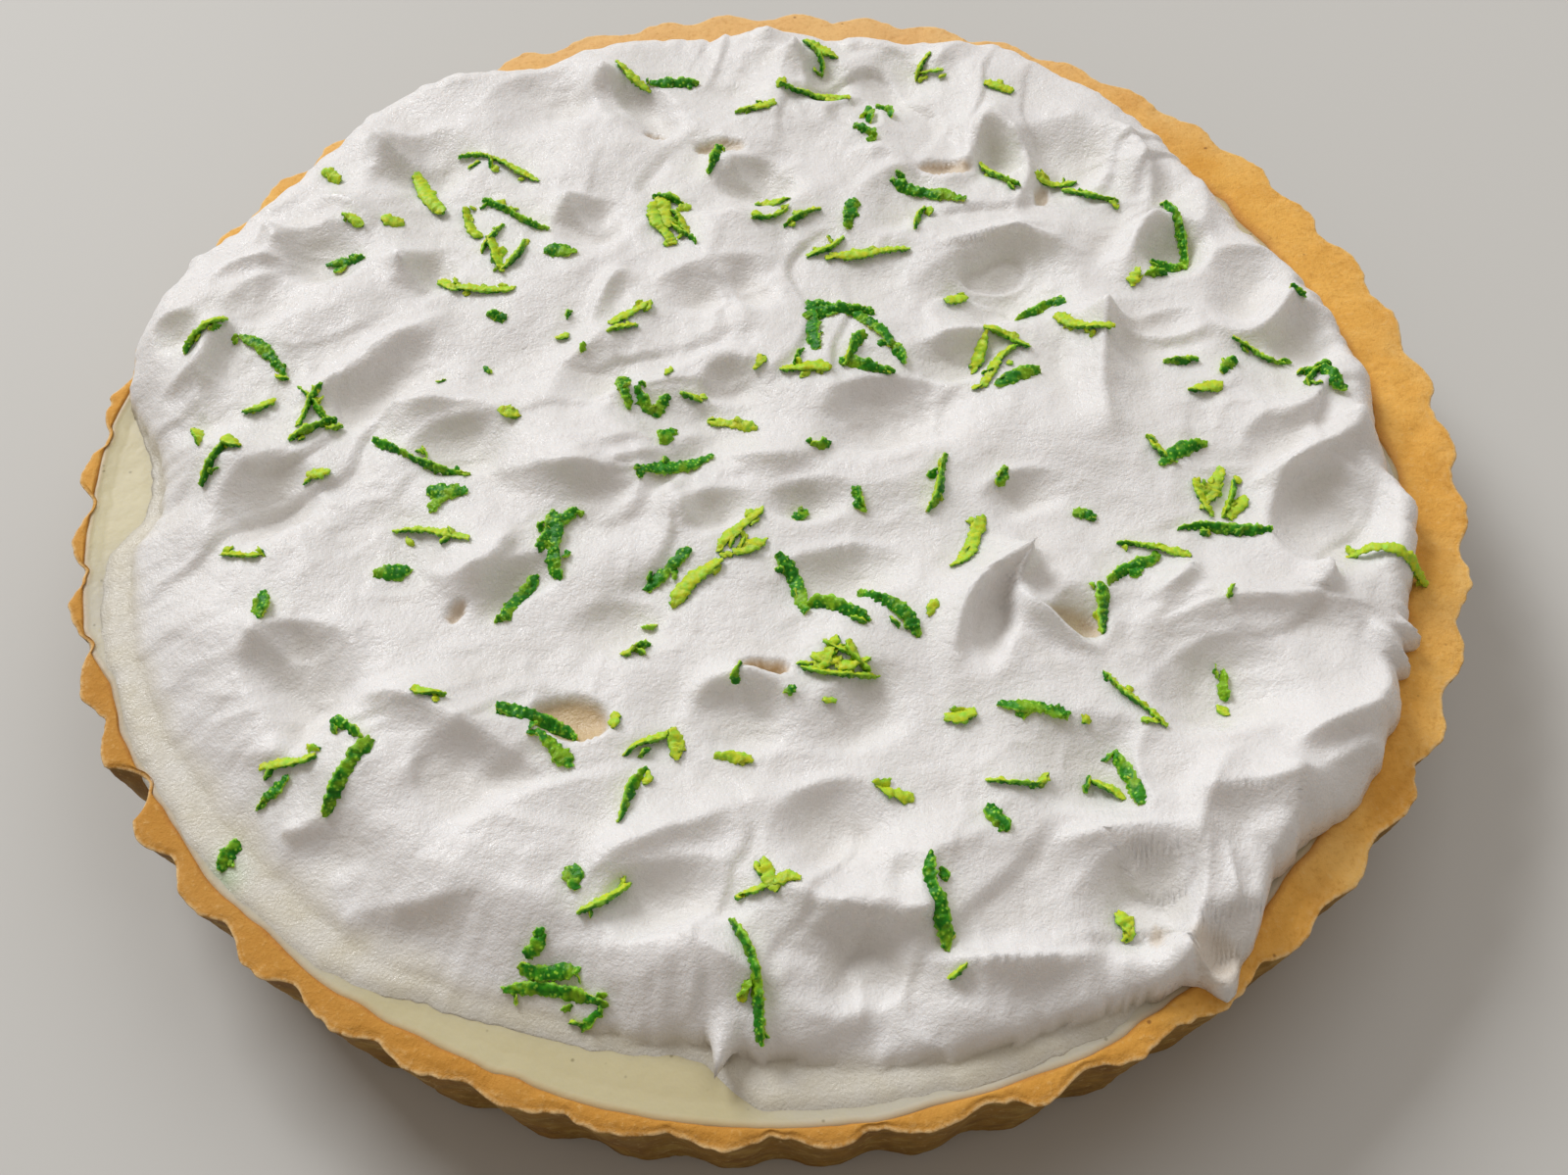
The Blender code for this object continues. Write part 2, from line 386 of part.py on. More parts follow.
def build_topping():
    """The spooned topping: a disc of swoops and peaks whose edge rolls down or thins out to a film."""
    share, phi = disc_grid(TOPPING_GRID)
    edge = by_angle(TOPPING_EDGE, phi)
    radius = share * edge
    x, y = radius * np.cos(phi), radius * np.sin(phi)
    z, dx, dy = topping_point(x, y)
    slope = by_angle(EDGE_SLOPE, phi)
    roll = np.clip((edge - by_angle(FILM_WIDTH, phi) - radius) / slope, 0, 1)
    fall = np.sqrt(1 - (1 - roll) ** 2)
    thin = np.clip((slope - 7) / 10, 0, 1)
    fall = fall * (1 - thin) + roll * roll * (3 - 2 * roll) * thin
    z = np.clip(z, LEAST_THICKNESS, None) * fall + FILM_THICKNESS * (1 - fall)
    x, y = x + dx * fall, y + dy * fall
    n = TOPPING_GRID + 1
    bm = bmesh.new()
    points = np.stack((x * MM, y * MM, TOPPING_BED + z * MM), axis=2)
    top = [[bm.verts.new(points[i, j]) for j in range(n)] for i in range(n)]
    for i in range(TOPPING_GRID):
        for j in range(TOPPING_GRID):
            bm.faces.new((top[i][j], top[i][j + 1], top[i + 1][j + 1], top[i + 1][j]))
    border = [top[0][j] for j in range(n - 1)] + [top[i][n - 1] for i in range(n - 1)]
    border += [top[n - 1][j] for j in range(n - 1, 0, -1)] + [top[i][0] for i in range(n - 1, 0, -1)]
    below = [bm.verts.new((v.co.x * 0.995, v.co.y * 0.995, TOPPING_BED)) for v in border]
    for i in range(len(border)):
        j = (i + 1) % len(border)
        bm.faces.new((border[i], below[i], below[j], border[j]))
    bm.faces.new(below)
    bmesh.ops.triangulate(bm, faces=bm.faces)
    bmesh.ops.recalc_face_normals(bm, faces=bm.faces)
    mesh = bpy.data.meshes.new("topping")
    bm.to_mesh(mesh)
    bm.free()
    mesh.shade_smooth()
    mesh.materials.append(material("white_topping", (0.84, 0.83, 0.82), 0.45, 0.15))
    mesh.materials.append(material("lime_peel", (0.14, 0.35, 0.03), 0.5))
    obj = bpy.data.objects.new("topping", mesh)
    bpy.context.scene.collection.objects.link(obj)
    return obj


def build_shred(index, surface, x, y, heading, length, bend):
    """One shred: a thin curved strip that follows the topping and stands a little out of it."""
    heading = radians(heading)
    bm = bmesh.new()
    sections = []
    for k in range(SHRED_STATIONS):
        s = k / (SHRED_STATIONS - 1) * 2 - 1
        bow = bend * (1 - s * s)
        cx = x + s * length / 2 * cos(heading) - bow * sin(heading)
        cy = y + s * length / 2 * sin(heading) + bow * cos(heading)
        half = SHRED_WIDTH / 2 * (1 - 0.3 * s * s) * (1 + 0.12 * sin(5 * index + 3 * s))
        side = Vector((-sin(heading), cos(heading), 0)) * half
        hit = surface.ray_cast(Vector((cx * MM, cy * MM, 1)), Vector((0, 0, -1)))[0]
        height = hit.z if hit else TOPPING_BED + SHRED_THICKNESS
        middle = Vector((cx * MM, cy * MM, height + SHRED_PROUD - SHRED_THICKNESS / 2))
        up = Vector((0, 0, SHRED_THICKNESS / 2))
        corners = ((-1, -1), (1, -1), (0.8, 1), (-0.8, 1))
        sections.append([bm.verts.new(middle + a * side + b * up) for a, b in corners])
    for low, high in zip(sections, sections[1:]):
        for i in range(4):
            j = (i + 1) % 4
            bm.faces.new((low[i], low[j], high[j], high[i]))
    bm.faces.new(reversed(sections[0]))
    bm.faces.new(sections[-1])
    bmesh.ops.triangulate(bm, faces=bm.faces)
    bmesh.ops.recalc_face_normals(bm, faces=bm.faces)
    mesh = bpy.data.meshes.new(f"shred_{index}")
    bm.to_mesh(mesh)
    bm.free()
    return bpy.data.objects.new(f"shred_{index}", mesh)


def fuse_shreds(topping):
    """Joins all the shreds to the topping in one union, and removes them."""
    bm = bmesh.new()
    bm.from_mesh(topping.data)
    surface = BVHTree.FromBMesh(bm)
    bm.free()
    shreds = bpy.data.collections.new("shreds")
    bpy.context.scene.collection.children.link(shreds)
    for index, row in enumerate(SHREDS):
        shred = build_shred(index, surface, *row)
        shred.data.materials.append(topping.data.materials[1])
        shreds.objects.link(shred)
    union = topping.modifiers.new("shreds", "BOOLEAN")
    union.operation = "UNION"
    union.operand_type = "COLLECTION"
    union.collection = shreds
    union.solver = "MANIFOLD"
    bpy.context.view_layer.update()
    fused = bpy.data.meshes.new_from_object(topping.evaluated_get(bpy.context.evaluated_depsgraph_get()))
    topping.modifiers.clear()
    topping.data = fused
    for shred in list(shreds.objects):
        bpy.data.objects.remove(shred)
    bpy.data.collections.remove(shreds)


def main():
    for obj in list(bpy.data.objects):
        bpy.data.objects.remove(obj)
    build_crust()
    build_filling()
    topping = build_topping()
    fuse_shreds(topping)


main()
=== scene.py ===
"""Looks of a round lemon tart: fluted crust, glossy lemon filling, spooned white topping and shreds of peel.

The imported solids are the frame. Each of them is replaced by a finer piece of the same form and size.
Lengths are metres, or millimetres where a name or a comment says so. +Z is up and -Y the near side.
"""

from math import cos, pi, radians, sin

import bpy
import numpy as np
from mathutils import Matrix, Vector
from mathutils.bvhtree import BVHTree


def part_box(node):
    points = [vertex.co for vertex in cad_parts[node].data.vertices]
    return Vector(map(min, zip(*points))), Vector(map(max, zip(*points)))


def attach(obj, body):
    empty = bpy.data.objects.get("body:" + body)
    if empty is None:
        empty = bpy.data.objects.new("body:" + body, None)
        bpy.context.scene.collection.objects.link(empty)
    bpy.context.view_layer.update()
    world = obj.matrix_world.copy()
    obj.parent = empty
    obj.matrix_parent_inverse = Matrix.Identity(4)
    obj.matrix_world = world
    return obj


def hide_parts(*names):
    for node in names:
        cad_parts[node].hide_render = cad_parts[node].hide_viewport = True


bl_info = {
    "name": "Lemon Tart",
    "version": (1, 0, 0),
    "blender": (4, 5, 0),
    "location": "3D View > Sidebar > Tart",
    "description": "Builds the looks of a lemon tart with a spooned white topping",
    "category": "Object",
}

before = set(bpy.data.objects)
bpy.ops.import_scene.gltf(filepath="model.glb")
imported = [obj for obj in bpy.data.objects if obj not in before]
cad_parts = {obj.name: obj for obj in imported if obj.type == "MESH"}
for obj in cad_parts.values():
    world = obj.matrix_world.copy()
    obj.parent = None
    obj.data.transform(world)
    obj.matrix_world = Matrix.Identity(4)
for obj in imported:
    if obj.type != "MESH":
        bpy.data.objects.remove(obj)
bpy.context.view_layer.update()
MM = 0.001
UP = np.array((0.0, 0.0, 1.0))

# Crust
CRUST_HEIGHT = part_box("crust")[1].z
FLUTE_PHASE = radians(-1.1)
FLUTE_SHARPNESS = 1.3
SECTORS_PER_FLUTE = 30
WALL_STEPS = 24
RIM_STEPS = 17
WALL_FOOT = 7 * MM
FLOOR_THICKNESS = 5 * MM
LEAST_RIM = 0.7 * MM
RIM_ROOM = 0.25 * MM            # the rim's grains may rise this far before they reach the crust's height
RIM_CROWN = 0.25 * MM
RIM_SAG = 0.15 * MM
SEAM_SHADE_SHARE = 0.18               # share of the rim's top that is darkened by painted shade beside the filling

# The flute whose outer edge has chipped off
CHIP_ANGLE = 211                # degrees
CHIP_HALF_ANGLE = 2.6           # degrees
CHIP_INWARD = 2.6 * MM
CHIP_DOWN = 0.3 * MM

# The crumbly arris: mm in from the wall, mm below the top, share of the wall's colour, share of crumbs
ARRIS_RINGS = ((0.04, 0.32, 0.8, 0.5), (0.16, 0.14, 0.0, 1.0), (0.4, 0.04, 0.0, 0.45), (0.8, 0.0, 0.0, 0.0))

# Relief of the crust, in rows of size, seed and amount
RAGGED_EDGE = ((1.6 * MM, 11, 0.3 * MM), (5 * MM, 12, 0.4 * MM))
CRUMB_SIZE, CRUMB_SEED, CRUMB_LEAST, CRUMB_DEPTH = 3.5 * MM, 13, 0.35, 1.0 * MM
GRAINS = ((2.2 * MM, 14, 0.13 * MM), (0.9 * MM, 15, 0.10 * MM))
DENT_SIZE, DENT_SEED, DENT_LEAST, DENT_DEPTH = 6 * MM, 16, 0.1, 0.35 * MM
RIM_WAVES = ((30 * MM, 17, 0.18 * MM),)
WALL_WAVES = ((9 * MM, 18, 0.2 * MM),)
RIM_UNEVEN = ((11 * MM, 41, 0.22), (4 * MM, 42, 0.08))

# How deep the flutes are by angle, as a share of the full depth, and the share that they flatten to
FLUTE_SHARE = ((0, 0.85), (60, 0.9), (200, 1), (235, 1), (250, 0.7), (300, 0.7), (320, 0.85))
FLAT_WAVE = 0.42
# Width of the rim's top in mm, by angle from +X, anticlockwise
RIM_WIDTH = ((0, 11.0), (25, 12.5), (45, 11.5), (62, 9.5), (78, 10.0), (95, 9.5), (115, 8.5), (130, 6.5),
             (150, 6.0), (166, 3.4), (174, 1.4), (195, 1.2), (201, 3.2), (215, 3.4), (230, 3.8), (245, 4.2),
             (256, 3.6), (264, 2.4), (280, 2.4), (290, 2.8), (302, 4.5), (312, 8.0), (325, 8.5), (342, 10.0))

# Filling
FILLING_SECTORS = 960
FILLING_RINGS = 40
FILLING_STEP = 0.75             # mm between its rings
FILLING_GAP = 0.6 * MM          # at its foot
FILLING_SAG = 0.25              # mm that its face lies below its edge
FILLING_WAVES = ((14 * MM, 21, 0.14 * MM),)
# The wet edge where the filling meets the crust: mm in from the crust, mm above the filling's level
WET_EDGE = ((-0.3, -0.9), (-0.3, -0.35), (-0.1, -0.1), (0.2, -0.02), (0.5, 0.0), (0.9, -0.06), (1.3, -0.15))
# Degrees between which a film greys the filling: where it starts, is full, starts to end, has ended
GREYED = ((186, 192, 230, 238), (266, 271, 312, 318))

# Topping, in millimetres and degrees
TOPPING_BED = CRUST_HEIGHT + 0.3 * MM
TOPPING_CELLS = 300
TOPPING_EDGE = ((0, 108), (11, 106), (16, 108), (20, 106.3), (26, 105), (32, 106), (41, 108), (55, 110),
                (64, 112.5), (74, 108), (82, 106), (87, 108.5), (95, 106.5), (103, 109), (109, 109.5),
                (114, 108.5), (120, 111.5), (126, 117), (132, 117), (137, 114.5), (143, 113), (150, 114.5),
                (156, 117.5), (166, 117.5), (172, 115), (177, 109.5), (182, 107.5), (185, 109), (188, 114),
                (196, 116), (200, 115.5), (203, 115.5), (215, 115.5), (225, 115.2), (231, 115),
                (237, 113.6), (242, 110.8), (247, 109.3), (255, 109), (261, 107.8), (263.5, 109),
                (266, 113), (268, 115.2), (272, 115.6), (280, 115.6), (287, 115.6), (293, 115.2),
                (297, 114), (299.8, 114.4), (300.8, 115.6), (301.4, 119.4), (302.4, 118.8), (304, 116.6),
                (306.5, 114.6), (311, 111), (314, 110.3), (321, 113.3), (330, 112.4), (333, 110),
                (333.8, 112.2), (334.6, 110), (336, 109.7), (336.8, 112.6), (337.6, 109.8), (341, 109.6),
                (350, 110.3), (355, 109.5))
# How far in from its edge the topping has come up to its level
EDGE_SLOPE = ((0, 5), (30, 6), (100, 6), (165, 6), (174, 9), (195, 15), (225, 17), (250, 15), (261, 12),
              (268, 7), (275, 6.5), (290, 6), (300, 6), (312, 6), (320, 5), (345, 5))
# Width of the film that the topping thins out to before its edge
FILM_WIDTH = ((4, 0), (12, 0), (17, 2), (24, 2.6), (36, 2.6), (43, 0), (171, 0), (176, 2), (183, 3),
              (187, 5), (196, 6), (203, 6), (215, 7), (232, 7), (238, 5), (243, 3.5), (252, 3.5),
              (260, 2.5), (263, 3), (266, 6.5), (269, 8), (273, 7), (278, 5.5), (284, 5), (290, 4),
              (294, 3), (298, 0), (350, 0), (354, 3), (359, 3))
FILM_HEIGHT = -0.3              # of the film above the topping's bed, on the filling
FILM_EDGE_HEIGHT = -1.1         # of the film's edge, which dips into the filling
FILM_EDGE = 2.5                 # width over which it dips
FOOT_HEIGHT = 0.3               # of the topping's edge where it has no film
SKIRT_HEIGHT = -1.4             # of the bottom of its sides
LEAST_HEIGHT = 1.2              # of the topping in its deepest hollow

# Relief of the topping, in rows of size, seed and amount
RAGGED_TOPPING = ((4.0, 31, 0.5), (1.6, 32, 0.3))
FROTH = ((2.7, 34, 0.15), (1.5, 38, 0.08))
CURL_SIZE, CURL_SEED, CURL_HEIGHT = 5.0, 33, 0.42
WORKED_SIZE, WORKED_SEED = 17, 35
STROKE_SIZE, STROKE_SEED, STROKE_SPACING = 20, 43, 27
STROKE_FACE = 0.14              # share of a stroke's spacing that its steep face takes
STROKE_STRENGTH_SIZE, STROKE_STRENGTH_SEED = 21, 44
HOLLOW_REACH = 9                # cells to each side that a hollow is measured against

# The bluish stain under one shred: x, y, spread squared, share
STAIN = (-84, -76, 9, 0.6)

# Waves that keep the swoops from being perfect ovals (WARP) and the level uneven: size and amount in mm, seed
WARP_X = ((34, 1.6, 3), (13, 0.3, 5))
WARP_Y = ((34, 1.6, 4), (13, 0.3, 6))
UNEVEN = ((40, 0.8, 7), (24, 0.5, 10), (20, 0.25, 9), (11, 0.12, 8))
WAVES = 7                       # crossing waves of each size
MERGE = 5                       # where scoops overlap, the deeper one nearly wins
WALL_SHARE = 0.6                # share of a scoop's length that falls from its lip
SQUARENESS = 2.4                # 2 makes a scoop's outline an oval, and more squarer
CREST_GAIN = 1.35
FULL_HOLE_SHADE_DEPTH = 2.8            # a hole this deep gets the full light brown painted shade

# Broad swells: x, y, radius, height
SWELLS = ((-78, 34, 17, 2.4), (-104, 36, 12, 2.6), (-33, 0, 13, 1.8), (8, -1, 12, 1.2),
          (-52, -18, 10, 1.4), (-22, 60, 20, 1), (20, 60, 18, 1), (70, 78, 14, 1.6), (84, 40, 12, 1.2),
          (46, -2, 16, 1.4), (70, -70, 14, 1.2), (-8, 28, 12, 1), (80, 2, 12, 1.4), (76, -34, 12, 1.6),
          (22, -45, 18, 1.2), (84, -62, 12, 2), (38, -108, 18, -4.4), (4, -98.5, 6, 2.6),
          (-18, -98, 12, 1.2), (-40, -76, 15, 1.4), (-62, -60, 12, 1.2), (-100, -25, 14, -1.6),
          (-92, -55, 12, -1.2), (-84, -72, 9, -1.4), (-60, -98, 12, -2), (10, -110, 14, -4.2),
          (66, -88, 11, 0.8), (56, 94, 14, 1.2), (-10, 98, 16, 1), (-52, 84, 16, 1.4), (-30, 30, 16, 0.8),
          (102, -20, 8, 1.2))
# Scoops of the spoon: x, y of the lip's middle, heading downhill, length, half width, depth, lip
SCOOPS = ((30.5, -39, -15, 9, 13, 4.2, 0.3), (41.5, 41.5, -78, 21, 16, 5.6, 1),
          (-9, 40, -80, 15, 12, 3.2, 0.8), (19, 9.5, -75, 17, 14, 4.6, 0.9),
          (64, 74, -110, 30, 13, 2.3, 0.9), (89, 37, -100, 17, 10, 2.4, 0.8),
          (31, 20, -75, 10, 10, 2.4, 0.6), (-54, 4, -72, 13, 10, 3, 0.8),
          (-70, 19, -52, 14, 15, 3.4, 0.8), (-92, 39, -60, 14, 9, 1.8, 0.5),
          (7, -10, -80, 9, 9, 2.6, 0.6), (41, -12, -70, 10, 8, 2.4, 0.6),
          (10, -25, -80, 12, 12, 3.4, 0.8), (84, -19, -20, 22, 14, 5.6, 1.2),
          (66, -46, -75, 19, 13, 4, 0.8), (46, -57, -90, 22, 15, 3, 0.7),
          (44, -38, -25, 10, 6.5, 3, 0.3), (54, -80, -82, 17, 17, 5.4, 0.7), (60, -90, -62, 11, 8, 4.6, 0.2),
          (5, -69, -72, 15, 11, 4, 0.9), (9, -87.5, -85, 16, 13, 4.6, 0.7),
          (-18, -80, -70, 14, 11, 3.8, 0.8), (-48, -59, -60, 14, 14, 2.8, 0.8),
          (-80, -37, -62, 22, 10, 4.4, 0.7), (-90, -5, -50, 18, 11, 4, 0.7),
          (-10, -14, -75, 10, 8, 2.6, 0.7), (-33, 19, -50, 16, 10, 2.2, 0.4),
          (-72, -72, -55, 13, 10, 2.6, 0.7), (-8, 17, -90, 12, 8, 1.8, 0.9),
          (-5, -51, -90, 14, 8, 2.2, 1), (-45, 94, -70, 20, 14, 2.2, 0.4),
          (22, 97, -70, 20, 13, 2.2, 0.4), (-107, 30, -60, 10, 6, 1.8, 0.7),
          (94, 22, -60, 15, 8, 3, 0.6), (12, -49, -75, 14, 12, 2, 0.5), (-43, -26, -65, 9, 9, 1.8, 0.6),
          (-88, 49, -50, 16, 11, 3, 0.7), (-70, 74, -42, 18, 12, 3.8, 0.8),
          (-35, 55, -50, 14, 9, 2.8, 0.6), (-27, 91, -66, 22, 8, 3.8, 0.6),
          (85, -66, -60, 13, 10, 2.2, 0.7), (-59, -83, -80, 11, 11, 2.6, 0.7),
          (-64, 43, -42, 12, 8, 2.6, 0.6), (-4, 66, -55, 16, 9, 3.8, 0.6),
          (74, 46, -80, 16, 7, 3.6, 0.5), (11, 97, -72, 18, 8, 3.4, 0.5), (46, 74, -85, 16, 5, 2.8, 0.5),
          (-102, 15, -60, 16, 8, 2.2, 0.5), (70, 24, -70, 12, 9, 1.6, 0.4),
          (-20, 10, -60, 13, 9, 1.6, 0.5), (72, -80, -30, 10, 8, 2.2, 0.4),
          (96, -52, -30, 10, 7, 1.8, 0.4), (-26, -34, -70, 12, 10, 1.6, 0.4),
          (24, 60, -70, 14, 10, 2, 0.5), (84, -2, -60, 12, 9, 1.8, 0.5))
# Crests: from x, y to x, y, bulge to the left of travel, height, reach on the right and on the left,
# and the share of the way where it is highest
CRESTS = ((29.5, -50, 44, -27, 6.5, 3.2, 4, 9, 0.8), (42.5, -28, 38, -37, -1.5, 3.2, 3.5, 4.5, 0.4),
          (37.5, -34, 51, -46.5, -2.5, 3.2, 3.5, 5, 0.25), (-12, 1, -47, -6, 5, 2.8, 14, 5, 0.5),
          (10, -3, -10, -5, 2.5, 2, 10, 4.5, 0.5), (61, -76, 56, -58, 5, 1.8, 6, 9, 0.5),
          (68, -78, 36, -80, -1, 2.2, 9, 4.5, 0.5), (21, -90, -4, -82, 2, 3.4, 9, 4.5, 0.25),
          (9, -93, 10, -105, 1.5, 1.2, 5, 3.5, 0.4), (-5, -72, -30, -86, -2.5, 2.4, 10, 5, 0.4),
          (-36, -66, -66, -51, -3, 2.6, 11, 5.5, 0.6), (-44, -81, -64, -86, -1.5, 2.2, 7, 4.5, 0.7),
          (-63, -86, -80, -65, 3, 2.2, 7, 4.5, 0.5), (64, -78, 50, -103, 3, 3.4, 5, 6, 0.5),
          (46, -96, 20, -96, 2, 3, 5.5, 5, 0.5),
          (76, -72, 68, -95, 1.5, 2.6, 6, 3, 0.4), (82, -69, 60, -73, 2, 2.2, 7, 4, 0.5),
          (103, 0, 79, -15, 3, 2.6, 10, 5.5, 0.5), (98, -42, 56, -43, -2.5, 2, 9, 5.5, 0.5),
          (97, 25, 79, 22, 4.5, 2.2, 8, 4.5, 0.5), (72, 48, 65, 73, -6, 2.4, 5, 8, 0.4),
          (34, 58, 46, 76, -1.5, 2, 5, 6, 0.8), (45, 47, 48, 75, -5, 2, 5, 6, 0.8),
          (62, 40, 29, 42, -1.5, 2, 10, 4.5, 0.5), (-3, 22, -9, 40, -0.5, 1.8, 4.5, 7, 0.7),
          (-33, 23, -23, 39, 1.5, 1.8, 4.5, 7, 0.6), (-55, 30, -84, 10, 2, 2, 11, 5.5, 0.5),
          (-42, -19, -60, -25, 6, 1.8, 7, 4, 0.4), (-13, -21, -18, -11, 1, 1.8, 4, 6, 0.6),
          (-94, 3, -97, 26, 2, 2, 5, 8, 0.6), (-103, 38, -87, 42, 3.5, 1.6, 4, 7, 0.5),
          (70, -31, 61, -37, 1, 2.2, 6, 3.5, 0.4), (89, -33, 85, -39, 1, 2, 5, 3, 0.4),
          (96, -58, 76, -68, -3, 2.2, 7, 4, 0.5), (57, -6, 62, 24, -1, 4.2, 7, 9, 0.93),
          (80, 22, 64, 20, 3, 1.6, 7, 4, 0.5), (66, 32, 74, 46, 2, 2.2, 5, 7, 0.85),
          (-61, 6, -44, 5, 1.5, 2, 5, 7, 0.2), (76, -80, 66, -94, -1, 1.8, 5, 2.5, 0.5),
          (66, -80, 64.5, -91, 0.5, 1.6, 4.5, 2.5, 0.5), (69, -91, 62, -104, 1, 2, 3, 2.5, 0.5),
          (52, -99, 26, -108, 2, 2.2, 8, 5, 0.5), (84, 62, 77, 40, 2, 1.4, 8, 4.5, 0.5),
          (-28, -19, -20, 1, -3, 1.4, 4.5, 9, 0.5), (100, 8, 84, -3, 2, 2, 7, 4.5, 0.5),
          (-87, 40, -91, 51, 0, 1.8, 6, 9, 0.85), (-60, 70, -73, 76, 3, 2.2, 10, 6, 0.85),
          (-21, 75, -28, 92, 2, 2.2, 6, 9, 0.85), (3, 58, -5, 65, 1, 1.8, 8, 5, 0.85),
          (-56, 36, -66, 43, 2, 1.6, 7, 4.5, 0.85), (-27, 49, -36, 56, 2, 1.6, 7, 4.5, 0.85),
          (11, 82, 9, 98, -1, 2, 5, 7, 0.85), (-15, -90, 0, -98, -3, 1.6, 5, 8, 0.5),
          (101, -47, 92, -43, 2, 1.6, 5, 3.5, 0.5), (94, -50, 86, -62, 2, 1.6, 6, 3.5, 0.5),
          (40, 21, 27, 18, -1, 1.6, 7, 3.5, 0.4), (70, -66, 62, -84, -2, 1.4, 6, 4, 0.5),
          (30, -75, 19, -86, -2, 1.6, 7, 4, 0.4), (-84, -38, -74, -50, 3, 1.4, 8, 5, 0.2),
          (-104, 12, -96, 30, -3, 1.6, 4, 7, 0.6), (-13, 8, -3, 15, 4, 1.2, 4, 5, 0.5),
          (-14, -54, 3, -53, 3.5, 1.4, 4, 7, 0.5), (-36, 24, -24, 12, 3, 1.2, 8, 5, 0.5),
          (34, 88, 46, 96, 3, 1.4, 6, 8, 0.5), (-62, 92, -44, 100, 2, 1.4, 6, 8, 0.5),
          (-84, 60, -72, 52, 2, 1.4, 8, 5, 0.4), (16, 66, 30, 60, 2, 1.4, 8, 5, 0.5),
          (-12, 50, 2, 44, 2, 1.4, 8, 5, 0.5))
# Pulled peaks: x, y, height, radius, heading of the lean, lean
PEAKS = ((62, 24, 3.2, 8, 90, 1.5), (-73, 75, 2.6, 10, 150, 2), (-91, 50, 2.4, 9, 150, 2),
         (-66, 43, 2.2, 8, 150, 2), (-36, 56, 2.2, 9, 120, 1.5), (-28, 92, 2.8, 10, 120, 1.5),
         (-5, 65, 2.6, 9, 100, 1.5), (10, 97, 3, 10, 100, 1.5), (47, 75, 3.6, 10, 110, 1.5),
         (74, 45, 2.8, 9, 90, 1.5), (95, 23, 3, 9, 60, 1.5), (38.5, -28, 2.8, 7, 5, 4),
         (3, 102, 3, 8, 90, 0.5), (-82, -37, 2.2, 8, 120, 1), (-93, -5, 2.6, 9, 140, 1.5),
         (-73, -71, 2.6, 7, 200, 2), (-64, -85, 2.2, 6, 250, 2.5), (19, -88, 2.6, 7, 320, 2.5),
         (-9.4, -105.8, 3, 3.8, 258, 9), (-4, -72, 2, 8, 100, 1), (-5, -51, 1.8, 7, 90, 0.5),
         (76, -71, 2.4, 7, 60, 1), (-49, -28, 1.6, 6, 90, 0.5), (-61, 7, 2.2, 8, 130, 1),
         (100, -2, 2.4, 7, 60, 1), (88, -34, 1.8, 5, 90, 0.5), (-97, 26, 2, 8, 120, 1))
# Open holes: x, y, heading, half length, half width, depth
HOLES = ((-33, -54, 5, 6.4, 3.6, 3.2), (-3, -47.5, 0, 3.5, 2.1, 2.8), (-51.5, -32.5, 60, 2, 1.4, 1.6),
         (47.5, -40.5, -20, 5, 2.8, 1.8), (-7, 71, 0, 6, 2, 1.7), (36, 63, 10, 6, 2.4, 1.9),
         (54, 55, 75, 3.5, 1.6, 1.5), (-21, 75, -20, 2.5, 1.5, 1.4), (61, -97, -60, 5, 4, 1),
         (54.5, -92, 60, 2, 1, 1))
